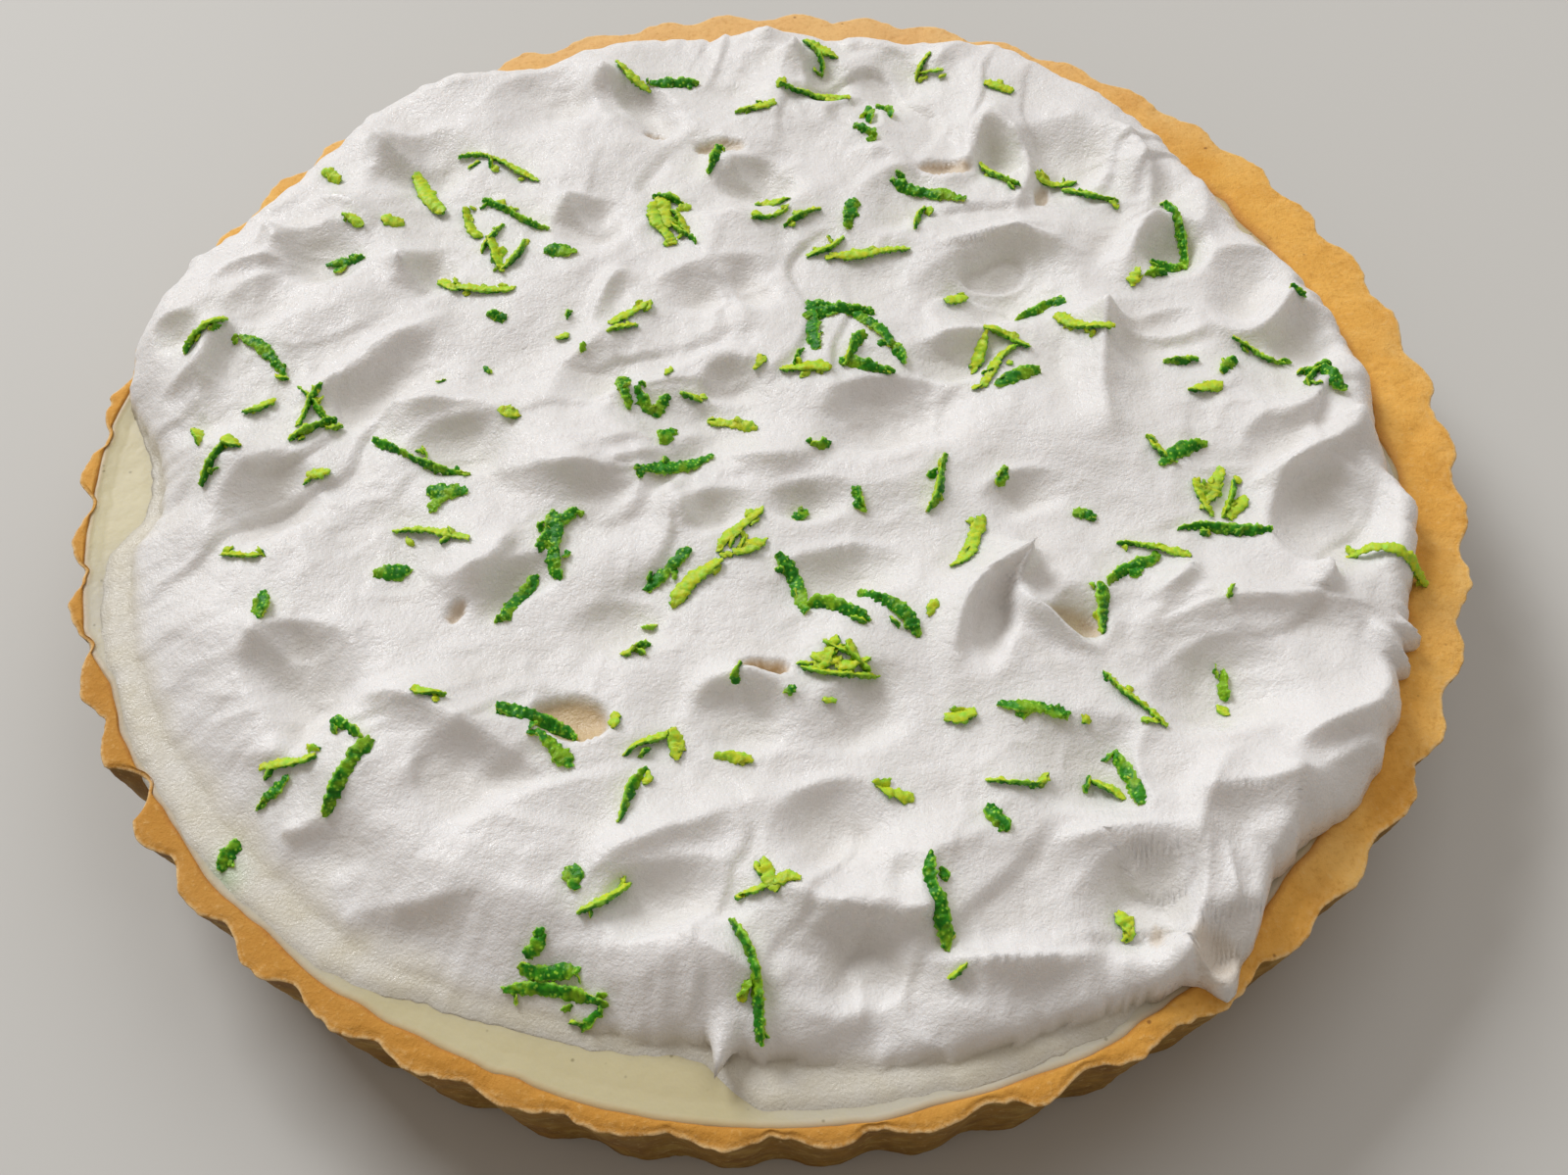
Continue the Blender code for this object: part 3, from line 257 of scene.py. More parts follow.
# Shreds of peel: x, y, heading, length, and skin: 0 where the pale side is up, 1 where the green side is
SHREDS = ((-50, 67, -29, 19, 0.35), (-63, 62, -62, 14, 0.1), (-24, 91, -46, 10, 0.35),
          (-16, 89, -2, 10, 0.9), (12, 96, -70, 9, 0.3), (14, 97, -40, 7, 0.2), (0, 80, 12, 8, 0.1),
          (12, 84, -7, 14, 0.15), (35, 90, -26, 6, 0.2), (34, 92, 60, 6, 0.3), (48, 83, -27, 6, 0.1),
          (26, 79, -80, 4, 0.8), (22, 78, -80, 5, 0.8), (21, 72, -47, 6, 0.7), (-82, 66, -40, 5, 0),
          (-8, 66, 65, 8, 0.7), (46, 60, -56, 11, 0.2), (57, 60, -14, 8, 0), (63, 55, -29, 11, 0.4),
          (32, 56, -29, 15, 0.9), (30, 49, 66, 7, 0.4), (20, 41, -1, 15, 0.1), (17, 50, 80, 7, 0.9),
          (12, 43, 30, 8, 0.2), (2, 51, 30, 8, 0.3), (8, 50, 25, 8, 0.35), (3, 55, -10, 6, 0.15),
          (-17, 56, -24, 7, 0.4), (-18, 50, -75, 12, 0.2), (-14, 47, -59, 8, 0.3), (-54, 53, -69, 9, 0.3),
          (-46, 54, -35, 16, 0.5), (-49, 44, -72, 11, 0.25), (-50, 48, 65, 8, 0.3), (-37, 43, -3, 6, 0.9),
          (-46, 43, 61, 9, 0.25), (-76, 52, -35, 5, 0.1), (-69, 53, -5, 4, 0.1), (-77, 44, -6, 8, 0.9),
          (-57, 37, -59, 6, 0.2), (-51, 35, -8, 12, 0.15), (-48, 28, -10, 4, 0.8), (-24, 27, 38, 9, 0.1),
          (-25, 23, 30, 6, 0.2), (35, 30, 40, 5, 0), (77, 43, -79, 14, 0.7), (75, 37, 4, 7, 0.9),
          (68, 32, 68, 4, 0.1), (72, 33, -3, 4, 0.6), (50, 27, 18, 9, 0.7), (55, 21, -45, 8, 0.1),
          (59, 17, -5, 5, 0.1), (95.5, 25, -3, 3, 0.6), (9, 23, -85, 13, 0.95), (14, 27, 5, 11, 0.9),
          (19, 22, -56, 12, 0.9), (16, 17, 60, 9, 0.8), (18, 13, -15, 10, 0.7), (43, 18, -20, 9, 0.3),
          (41, 12, 48, 12, 0.35), (44, 9, 18, 9, 0.8), (38, 16, 70, 7, 0.2), (7, 12, -10, 9, 0.05),
          (6, 15, 60, 4, 0.7), (-99, 24, 46, 10, 0.3), (-89, 20, -43, 13, 0.9), (87, 14, -32, 10, 0.5),
          (73, 12, -3, 6, 0.4), (81, 10, 50, 5, 0.8), (76, 5, -3, 6, 0.1), (95, 6, 60, 6, 0.7),
          (98, 5, -62, 6, 0.8), (-24, 9, -89, 8, 1), (-21, 7, -60, 6, 0.8), (-18, 6, 56, 5, 0.7),
          (-13, 8, -20, 4, 0.2), (-6, 2, -17, 9, 0.1), (-17, -1, 51, 5, 0.9), (-16, -7, 24, 14, 0.95),
          (-78, 3, 33, 9, 0.35), (-78, 8, -50, 10, 0.4), (-79, 8, 66, 9, 0.4), (-88, 9, 20, 6, 0.1),
          (-98, 3, -75, 5, 0.2), (-94, -4, 60, 8, 0.5), (-91, 0, -40, 5, 0.1), (-59, -3, -24, 19, 0.6),
          (-44, 4, -30, 4, 0.1), (-49, 16, -50, 2, 0.6), (9, -4, 15, 4, 0.7), (66, -8, -70, 5, 0.3),
          (70, -9, 28, 10, 0.8), (28, -13, 68, 12, 0.7), (39, -12, 60, 4, 0.8), (15, -15, -70, 4, 0.7),
          (5, -17, 60, 4, 0.9), (-54, -11, 0, 7, 0.95), (-55, -13, 60, 5, 0.9), (-76, -6, -3, 4, 0.05),
          (-56, -20, -16, 14, 0.35), (-62, -26, 15, 6, 0.8), (-87, -22, -12, 8, 0.1), (-34, -18, 50, 6, 1),
          (-35, -23, -80, 13, 0.95), (-37, -20, 70, 8, 0.9), (-41, -32, 62, 10, 0.9),
          (-17, -28, 44, 10, 1), (-12, -31, 46, 11, 0.05), (-5, -21, 54, 12, 0.1), (-4, -25, 15, 5, 0.1),
          (32, -25, 55, 12, 0.2), (52, -20, -10, 4, 0.95), (72, -18, -80, 8, 0.3), (76, -18, 68, 9, 0.4),
          (73, -17, 60, 8, 0.2), (74, -25, -5, 15, 0.6), (62, -28, -19, 12, 0.1), (58, -32, 28, 10, 0.85),
          (52, -39, 88, 9, 0.8), (101, -30.5, -14, 14, 0), (3, -32, -68, 12, 0.85),
          (10, -38, -20, 11, 0.8), (18, -38, -52, 14, 1), (-82, -33, -82, 6, 0.8), (-20, -38, 0, 2.5, 0.5),
          (-22, -43, 17, 5, 0.4), (10, -49, -8, 12, 0.4), (8, -46, 60, 7, 0.2), (13, -47, -60, 6, 0.5),
          (25, -38, 60, 3, 0), (8, -54, 10, 2.5, 0.1), (2, -53, -2, 1.8, 0.9), (-6, -50, 70, 3, 0.6),
          (70, -52, -85, 5, 0.8), (69, -56, -63, 2.5, 0.1), (55, -56, -57, 13, 0.5), (39, -57, -18, 11, 1),
          (28, -57, 8, 5, 0.1), (-53, -52, -7, 5, 0.2), (-37, -56, -23, 13, 0.9), (-34, -61, -50, 8, 0.95),
          (-66, -56, -37, 7, 0.9), (-65, -64, 60, 13, 0.7), (-75, -60, 6, 9, 0.2), (-77, -64, 40, 6, 0.9),
          (-20, -60, 35, 8, 0.4), (-16, -60, -78, 6, 0.1), (-7, -63, -11, 6, 0), (-22, -69, 66, 10, 0.6),
          (35, -69, -2, 9, 0.5), (32, -75, -70, 5, 0.8), (17, -70, -25, 6, 0.2), (49, -70, -45, 6, 0.2),
          (52, -69, -78, 10, 0.7), (-83.5, -73, 60, 5, 0.8), (-30, -82, -80, 4, 0.9), (-26, -85, 34, 9, 0.2),
          (-2, -85, 5, 9, 0.15), (-2, -83, -65, 6, 0.2), (22, -88, -88, 14, 0.95), (24, -98, 30, 3, 0.3),
          (49, -90, -65, 4, 0), (72, -39, 60, 3, 0.5), (-34, -94, -14, 9, 0.9), (-36, -91, 35, 4, 0.9),
          (-33, -98, -12, 16, 0.9), (-28, -101, 37, 4, 0.9), (-6, -98, -76, 17, 0.6), (-25, -56, 80, 3, 0),
          (47, -59, -60, 1.5, 0), (-35, 28, 60, 2, 0.5), (-36, 23, 20, 2.5, 0.3), (-32, 19, 80, 2, 0.7),
          (-17, 13, 70, 2.5, 0.3), (-1, 14, 50, 3, 0.1), (-57, 14, 10, 1.5, 0.3), (74, -15, 62, 8, 0.15),
          (77, -20, 60, 6, 0.1), (10, -45, -30, 6, 0.4), (12, -48, 10, 6, 0.35), (8, -47, -20, 5, 0.2),
          (-18, 53, -70, 9, 0.1), (-15, 50, -62, 7, 0.3), (96, 8, 10, 5, 0.7), (94, 4, -30, 3, 0.5),
          (-3, -24, 30, 5, 0.05), (-6, -23, 70, 4, 0.1), (24, 16, -80, 5, 0.9), (12, 28, -20, 7, 0.9))

# Shreds of peel, in millimetres
LINE_STEP = 0.6
BENDING_LENGTH = 6              # a longer shred bends to the surface under it
STIFF_LENGTH = 8.0              # a longer shred begins to follow every swoop
STRIP_STEP = 0.27 * MM
PROFILE_POINTS = 14
LUMP_SIZE = 0.7 * MM
LUMP_STRENGTH = 3.4             # how much higher the lumps are than the pores are deep

# Light, with places in metres
TART_MIDDLE = (0, 0, 0.03)
KEY_PLACE, KEY_SIZE, KEY_COLOR = (-2.33, 3.0, 3.06), 1.95, (0.975, 0.985, 1.0)
FILL_PLACE, FILL_SIZE, FILL_COLOR = (0.9, 1.5, 2.4), 2.0, (0.97, 0.98, 1.0)


def by_angle(table, theta):
    """Reads a table of (degrees, value) round the full turn."""
    degrees = np.array([row[0] for row in table], float)
    values = np.array([row[1] for row in table], float)
    degrees = np.concatenate((degrees - 360, degrees, degrees + 360))
    return np.interp(np.degrees(theta) % 360, degrees, np.tile(values, 3))


def noise(points, size, seed):
    """Smooth seeded randomness from -1 to 1 that varies over about this size."""
    lattice = np.random.default_rng(seed).uniform(-1, 1, (32, 32, 32))
    cell = np.asarray(points) / size
    low = np.floor(cell).astype(int)
    part = cell - low
    part = part * part * (3 - 2 * part)
    low, high = low % 32, (low + 1) % 32
    total = 0
    for i, x in ((low, 1 - part), (high, part)):
        for j, y in ((low, 1 - part), (high, part)):
            for k, z in ((low, 1 - part), (high, part)):
                value = lattice[i[..., 0], j[..., 1], k[..., 2]]
                total = total + value * x[..., 0] * y[..., 1] * z[..., 2]
    return total


def relief(points, rows):
    """Sum of several noises, in rows of size, seed and amount."""
    return sum(noise(points, size, seed) * amount for size, seed, amount in rows)


def scattered(points, size, seed, least):
    """Noise above a least value alone: 0 between scattered patches."""
    return np.clip(noise(points, size, seed) - least, 0, 1)


def piece(name, verts, faces, material, attributes=None):
    """A smooth-shaded mesh object at the origin, with a material and float attributes of its points."""
    mesh = bpy.data.meshes.new(name)
    mesh.from_pydata(np.asarray(verts).reshape(-1, 3).tolist(), [], faces)
    mesh.shade_smooth()
    for key, values in (attributes or {}).items():
        layer = mesh.attributes.new(key, "FLOAT", "POINT")
        layer.data.foreach_set("value", np.asarray(values, np.float32).ravel())
    mesh.materials.append(material)
    obj = bpy.data.objects.new(name, mesh)
    bpy.context.scene.collection.objects.link(obj)
    return obj


def ring_faces(rings, sectors):
    """Quads between rings that run from the bottom's middle out, up and in to the top's, and two caps."""
    i, j = np.meshgrid(np.arange(rings - 1), np.arange(sectors), indexing="ij")
    k = (j + 1) % sectors
    low, high = i * sectors, (i + 1) * sectors
    faces = np.stack((low + j, low + k, high + k, high + j), axis=-1).reshape(-1, 4).tolist()
    faces.append(list(range(sectors - 1, -1, -1)))
    faces.append(list(range((rings - 1) * sectors, rings * sectors)))
    return faces


class Rings:
    """Rings of points about the tart's middle, from the bottom's middle out, up and in, with attributes."""

    def __init__(self, sectors, start, names):
        self.theta = np.arange(sectors) * 2 * pi / sectors + start
        self.out = np.stack((np.cos(self.theta), np.sin(self.theta), np.zeros(sectors)), axis=1)
        self.rings = []
        self.layers = {name: [] for name in names}

    def add(self, radius, height, **shares):
        """Adds a ring. Its radius, height and attributes are one number each, or one for each point."""
        self.rings.append(self.out * np.reshape(radius, (-1, 1)) + UP * np.reshape(height, (-1, 1)))
        for name, values in self.layers.items():
            values.append(np.broadcast_to(shares.get(name, 0.0), len(self.theta)))

    def piece(self, name, points, material):
        """Closes the rings, at these points, into a piece."""
        return piece(name, points, ring_faces(len(self.rings), len(self.theta)), material, self.layers)


def wall_radius(theta, height, crust):
    """Outer radius of the crust at a height: flutes with broad crests and narrower valleys."""
    crest_radius = crust.base_radius + (crust.rim_radius - crust.base_radius) * height / CRUST_HEIGHT
    wave = (0.5 - 0.5 * np.cos(crust.flutes * (theta - FLUTE_PHASE))) ** FLUTE_SHARPNESS
    return crest_radius - crust.flute_depth * (FLAT_WAVE + (wave - FLAT_WAVE) * by_angle(FLUTE_SHARE, theta))


def chip(theta):
    """How much of the rim is missing at an angle, from 0 to 1."""
    off = (np.degrees(theta) - CHIP_ANGLE + 180) % 360 - 180
    return np.clip(1 - (off / CHIP_HALF_ANGLE) ** 2, 0, 1) ** 0.5


def rim_inner_radius(theta, crust):
    """Where the rim's top ends and the filling begins."""
    width = by_angle(RIM_WIDTH, theta) * MM
    circle = np.stack((np.cos(theta), np.sin(theta), np.zeros_like(theta)), axis=-1) * crust.rim_radius
    uneven = relief(circle, RIM_UNEVEN) * np.clip(width, 0, 5 * MM)
    return crust.rim_radius - crust.flute_depth / 2 - width + uneven


def node(tree, kind, inputs=None, **settings):
    """Adds a node to a tree, with its settings, its constants and its links."""
    made = tree.nodes.new(kind)
    for key, value in settings.items():
        setattr(made, key, value)
    for key, value in (inputs or {}).items():
        if isinstance(value, bpy.types.NodeSocket):
            tree.links.new(value, made.inputs[key])
        else:
            made.inputs[key].default_value = value
    return made


def new_material(name, color, roughness, specular=0.5, subsurface=0.0, scale=0.004, radius=(1, 0.8, 0.6)):
    """A Principled material with its constants set, and its tree, shader and Object coordinates."""
    material = bpy.data.materials.new(name)
    material.use_nodes = True
    material.diffuse_color = (*color, 1)
    tree = material.node_tree
    shader = tree.nodes["Principled BSDF"]
    shader.inputs["Base Color"].default_value = (*color, 1)
    shader.inputs["Roughness"].default_value = roughness
    shader.inputs["Specular IOR Level"].default_value = specular
    shader.inputs["Subsurface Weight"].default_value = subsurface
    shader.inputs["Subsurface Scale"].default_value = scale
    shader.inputs["Subsurface Radius"].default_value = radius
    place = node(tree, "ShaderNodeTexCoord").outputs["Object"]
    return material, tree, shader, place


def mix(tree, share, low, high, blend="MIX"):
    """Mixes two colours by a share, and returns the mixed colour."""
    made = node(tree, "ShaderNodeMix", data_type="RGBA", blend_type=blend)
    for index, value in ((0, share), (6, low), (7, high)):
        if isinstance(value, bpy.types.NodeSocket):
            tree.links.new(value, made.inputs[index])
        elif index == 0:
            made.inputs[0].default_value = value
        else:
            made.inputs[index].default_value = (*value, 1)
    return made.outputs[2]


def ramp(tree, value, low, high, to_low=0.0, to_high=1.0):
    """Maps a value from one range to another, held at both ends."""
    inputs = {"Value": value, "From Min": low, "From Max": high, "To Min": to_low, "To Max": to_high}
    return node(tree, "ShaderNodeMapRange", inputs, clamp=True).outputs["Result"]


def math(tree, operation, a, b):
    return node(tree, "ShaderNodeMath", {0: a, 1: b}, operation=operation).outputs[0]


def texture(tree, place, size, detail=3.0, roughness=0.55, output="Fac"):
    """Noise whose features are about this size, in metres."""
    inputs = {"Vector": place, "Scale": 1 / size, "Detail": detail, "Roughness": roughness}
    return node(tree, "ShaderNodeTexNoise", inputs).outputs[output]


def spots(tree, place, size, randomness=1.0):
    """Distance to the nearest of many scattered spots, for dots, pores and specks."""
    inputs = {"Vector": place, "Scale": 1 / size, "Randomness": randomness}
    return node(tree, "ShaderNodeTexVoronoi", inputs).outputs["Distance"]


def attribute(tree, name):
    return node(tree, "ShaderNodeAttribute", attribute_name=name).outputs["Fac"]


def bump(tree, height, distance, strength=1.0, normal=None):
    inputs = {"Height": height, "Distance": distance, "Strength": strength}
    if normal is not None:
        inputs["Normal"] = normal
    return node(tree, "ShaderNodeBump", inputs).outputs["Normal"]


def coat(tree, color, value, start, full, share, over, within=None):
    """Lays a colour over another by a share that grows while a value goes from start to full."""
    amount = ramp(tree, value, start, full, 0.0, share)
    if within is not None:
        amount = math(tree, "MULTIPLY", amount, within)
    return mix(tree, amount, color, over)


def crust_material(crust):
    """Baked shortcrust: sandy golden rim with darker grains, olive brown wall and pale crumbly arris, with
    painted shade on the wall, on the rim's near side and where the rim meets the filling.
    """
    material, tree, shader, place = new_material("baked_crust", crust.rim_color, 0.72, 0.3, 0.05, 0.003)
    grain = texture(tree, place, 1.1 * MM, 4, 0.7)
    chaff = texture(tree, place, 1.4 * MM, 3, 0.7)
    wall = attribute(tree, "wall")
    across = node(tree, "ShaderNodeSeparateXYZ", {0: place}).outputs
    near_left = math(tree, "ADD", math(tree, "MULTIPLY", across["X"], 0.7), across["Y"])
    # Coats of the rim: what each follows, where it starts and is full, its share and its colour
    rim_coats = ((texture(tree, place, 12 * MM), 0.38, 0.66, 1.0, crust.toasted_color),
                 (texture(tree, place, 18 * MM, 2), 0.5, 0.7, 0.5, crust.pale_color),
                 # painted shade: the rim darkens towards its near-left side
                 (near_left, -50 * MM, -115 * MM, 0.8, crust.near_shade_color),
                 (across["Y"], 70 * MM, 110 * MM, 0.6, crust.far_color),
                 (grain, 0.56, 0.72, 0.4, crust.pale_grain_color),
                 (grain, 0.48, 0.32, 0.4, crust.dark_grain_color))
    color = crust.rim_color
    for row in rim_coats:
        color = coat(tree, color, *row)
    # painted shade: the wall's brown is darkened as if it stood in shade
    wall_share = ramp(tree, texture(tree, place, 3 * MM, 4), 0.25, 0.7, 1.0, 0.72)
    color = mix(tree, math(tree, "MULTIPLY", wall, wall_share), color, crust.shaded_wall_color)
    # Coats of the wall, in the same order
    wall_coats = ((texture(tree, place, 4 * MM), 0.52, 0.62, 0.5, crust.worn_color),
                  (texture(tree, place, 7 * MM), 0.5, 0.66, 0.45, crust.scorched_color),
                  (chaff, 0.58, 0.68, 0.55, crust.chaff_color))
    for row in wall_coats:
        color = coat(tree, color, *row, within=wall)
    crumbs = math(tree, "MULTIPLY", attribute(tree, "arris"), ramp(tree, grain, 0.38, 0.56, 0.1, 1.0))
    color = mix(tree, crumbs, color, crust.arris_color)
    # painted shade: a dark band on the rim where it meets the filling
    color = coat(tree, color, attribute(tree, "seam"), 0.0, 1.0, 0.75, crust.seam_color)
    color = coat(tree, color, spots(tree, place, 6 * MM), 0.07, 0.035, 0.7, crust.speck_color)
    tree.links.new(color, shader.inputs["Base Color"])
    fine = texture(tree, place, 0.5 * MM, 3, 0.7)
    rough = bump(tree, grain, 0.4 * MM, 0.55)
    tree.links.new(bump(tree, fine, 0.2 * MM, 0.6, rough), shader.inputs["Normal"])
    return material


def crust_rings(crust):
    """Rings of the shell: up the fluted wall, over the arris and the rim, and down to the floor inside."""
    sectors = crust.flutes * SECTORS_PER_FLUTE
    shell = Rings(sectors, FLUTE_PHASE, ("wall", "arris", "seam"))
    theta = shell.theta
    missing = chip(theta)
    circle = shell.out * crust.rim_radius
    ragged = relief(circle, RAGGED_EDGE)
    inward = CHIP_INWARD * missing + scattered(circle, CRUMB_SIZE, CRUMB_SEED, CRUMB_LEAST) * CRUMB_DEPTH
    top = CRUST_HEIGHT - CHIP_DOWN * missing - RIM_ROOM
    outer = wall_radius(theta, CRUST_HEIGHT, crust) - inward + ragged
    inner = np.minimum(rim_inner_radius(theta, crust), outer - LEAST_RIM)
    foot = wall_radius(theta, 0, crust)
    shell.add(foot * 0.5, 0.0, wall=1)
    shell.add(foot - 2.5 * MM, 0.0, wall=1)
    for turn in (0.0, 0.35, 0.7, 1.0):
        angle = turn * pi / 2
        shell.add(foot - crust.edge_round * (1 - sin(angle)), crust.edge_round * (1 - cos(angle)), wall=1)
    for share in np.arange(1, WALL_STEPS + 1) / WALL_STEPS:
        height = crust.edge_round + (top - 0.5 * MM - crust.edge_round) * share
        radius = wall_radius(theta, height, crust) - inward * share ** 6 + ragged * share ** 8
        shell.add(radius, height, wall=1)
    for back, down, wall_share, crumbs in ARRIS_RINGS:
        shell.add(outer - back * MM, top - down * MM, wall=wall_share, arris=crumbs)
    start = outer - ARRIS_RINGS[-1][0] * MM
    for share in np.arange(1, RIM_STEPS + 1) / RIM_STEPS:
        # painted shade rises over the rim's last share beside the filling
        join_shade = max(0.0, share - 1 + SEAM_SHADE_SHARE) / SEAM_SHADE_SHARE
        sag = max(0.0, share - 0.85) / 0.15 * RIM_SAG
        height = top + RIM_CROWN * (1 - (2 * share - 1) ** 2) - sag
        shell.add(start * (1 - share) + inner * share, height, arris=0.2 * (1 - share) ** 8, seam=join_shade)
    shell.add(inner - 0.5 * MM, top - 1.6 * MM, seam=1.0)
    shell.add(np.full(sectors, crust.base_radius - WALL_FOOT), FLOOR_THICKNESS, seam=0.5)
    return shell


def build_crust(crust, material):
    """The fluted shell with grainy faces, a crumbly outer arris and one chipped flute."""
    shell = crust_rings(crust)
    points = np.stack(shell.rings)
    height = points[..., 2]
    radius = np.hypot(points[..., 0], points[..., 1])
    outward = points * (1 - UP) / np.maximum(radius, 1e-6)[..., None]
    below_top = CRUST_HEIGHT - CHIP_DOWN * chip(shell.theta) - height
    on_top = np.clip((1.2 * MM - below_top) / (1.0 * MM), 0, 1)
    on_wall = (1 - on_top) * np.clip(height / (1.5 * MM), 0, 1) * (radius > crust.base_radius - 3.3 * MM)
    grains = relief(points, GRAINS)
    dents = scattered(points, DENT_SIZE, DENT_SEED, DENT_LEAST) * DENT_DEPTH
    raised = on_top * (grains - dents + relief(points, RIM_WAVES))
    points = points + outward * (on_wall * (grains + relief(points, WALL_WAVES)))[..., None]
    points[..., 2] = np.minimum(points[..., 2] + raised, CRUST_HEIGHT)
    return shell.piece("crust_baked", points, material)


def filling_material(filling):
    """Set lemon cream: pale yellow and glossy with fine dark specks, greyish under the topping's film."""
    material, tree, shader, place = new_material("lemon_filling", filling.color, 0.38, 0.3, 0.25, 0.006,
                                                 (1.0, 0.85, 0.45))
    color = coat(tree, filling.color, texture(tree, place, 20 * MM), 0.35, 0.7, 0.35, filling.cloud_color)
    cloudy = ramp(tree, texture(tree, place, 8 * MM, 4), 0.3, 0.6, 0.7, 1.0)
    color = mix(tree, math(tree, "MULTIPLY", cloudy, attribute(tree, "film")), color, filling.film_color)
    # painted shade: a darker, warmer band of the filling where it meets the crust
    color = coat(tree, color, attribute(tree, "seam"), 0.0, 1.0, 0.7, filling.seam_color)
    rare = ramp(tree, texture(tree, place, 6 * MM, 2), 0.46, 0.54)
    specks = spots(tree, place, 2.4 * MM)
    color = coat(tree, color, specks, 0.15, 0.07, 0.55, filling.speck_color, within=rare)
    tree.links.new(color, shader.inputs["Base Color"])
    tree.links.new(bump(tree, texture(tree, place, 4 * MM), 0.3 * MM, 0.5), shader.inputs["Normal"])
    return material


def build_filling(crust, filling, material):
    """The filling: a disc whose wet edge runs under the crust, with a slightly uneven face."""
    disc = Rings(FILLING_SECTORS, 0.0, ("film", "seam"))
    theta = disc.theta
    rim = wall_radius(theta, CRUST_HEIGHT, crust) - CHIP_INWARD * chip(theta)
    edge = np.minimum(rim_inner_radius(theta, crust), rim - LEAST_RIM - 0.1 * MM)
    foot = crust.base_radius - WALL_FOOT - FILLING_GAP
    level = CRUST_HEIGHT - filling.below_rim
    greyed = sum(np.interp(np.degrees(theta), row, (0, 1, 1, 0)) for row in GREYED)
    disc.add(np.full(FILLING_SECTORS, foot - 5 * MM), FLOOR_THICKNESS + 0.3 * MM)
    disc.add(np.full(FILLING_SECTORS, foot), FLOOR_THICKNESS + 0.9 * MM)
    disc.add(edge - 0.4 * MM, level - 3 * MM)
    below_face = len(disc.rings)
    # the rings of the wet edge nearest the crust carry painted shade
    for back, up_by in WET_EDGE:
        disc.add(edge - back * MM, level + up_by * MM, film=greyed, seam=np.clip(1.1 - back, 0, 1))
    for k in range(1, FILLING_RINGS + 1):
        back = WET_EDGE[-1][0] + FILLING_STEP * k
        sag = FILLING_SAG * min(1, k / 2)
        disc.add(edge - back * MM, level - sag * MM, film=greyed * np.clip(1.25 - k / 24, 0, 1))
    points = np.stack(disc.rings)
    points[below_face:, :, 2] += relief(points[below_face:], FILLING_WAVES)
    return disc.piece("filling_cream", points, material)


def waves(x, y, rows):
    """Smooth seeded unevenness: for each size, a few waves that cross each other."""
    total = np.zeros(np.shape(x))
    for size, amount, seed in rows:
        draw = np.random.default_rng(seed)
        for k in range(WAVES):
            angle = 2 * pi * (k + draw.uniform(0, 0.8)) / WAVES
            number = 2 * pi / size * draw.uniform(0.7, 1.35)
            wave = np.sin(number * (x * cos(angle) + y * sin(angle)) + draw.uniform(0, 2 * pi))
            total = total + wave * amount / WAVES ** 0.5 / 1.4
    return total


def scoop(x, y, px, py, heading, length, half_width, depth, lip):
    """A hollow that falls from a crisp, raised lip and runs out gently at its far end."""
    cx = px + WALL_SHARE * length * cos(radians(heading))
    cy = py + WALL_SHARE * length * sin(radians(heading))
    along = (x - cx) * cos(radians(heading)) + (y - cy) * sin(radians(heading))
    across = -(x - cx) * sin(radians(heading)) + (y - cy) * cos(radians(heading))
    reach = np.where(along < 0, WALL_SHARE, 1 - WALL_SHARE) * length
    q = (np.abs(along / reach) ** SQUARENESS + np.abs(across / half_width) ** SQUARENESS) ** (1 / SQUARENESS)
    front = np.clip(0.5 + 0.5 * along / np.maximum(np.hypot(along, across), 1e-6), 0, 1)
    hollow = depth * np.clip(1 - q * q, 0, None) ** (1 + 1.5 * np.clip(2.4 * front, 0, 1))
    raised = lip * np.clip(1 - 2 * front, 0, 1) * np.clip(1 - np.abs(q - 1) / 0.5, 0, None) ** 2
    return hollow, raised


def crest(x, y, ax, ay, bx, by, bulge, height, right_reach, left_reach, summit):
    """A curved, sharp crest that rises to its summit and fades to both ends."""
    length = np.hypot(bx - ax, by - ay)
    ux, uy = (bx - ax) / length, (by - ay) / length
    along = ((x - ax) * ux + (y - ay) * uy) / length
    side = -(x - ax) * uy + (y - ay) * ux - bulge * 4 * along * (1 - along)
    rise = np.clip(np.where(along < summit, along / summit, (1 - along) / (1 - summit)), 0, 1)
    reach = np.where(side < 0, right_reach, left_reach)
    return height * rise * (2 - rise) * np.clip(1 - np.abs(side) / reach, 0, None) ** 2


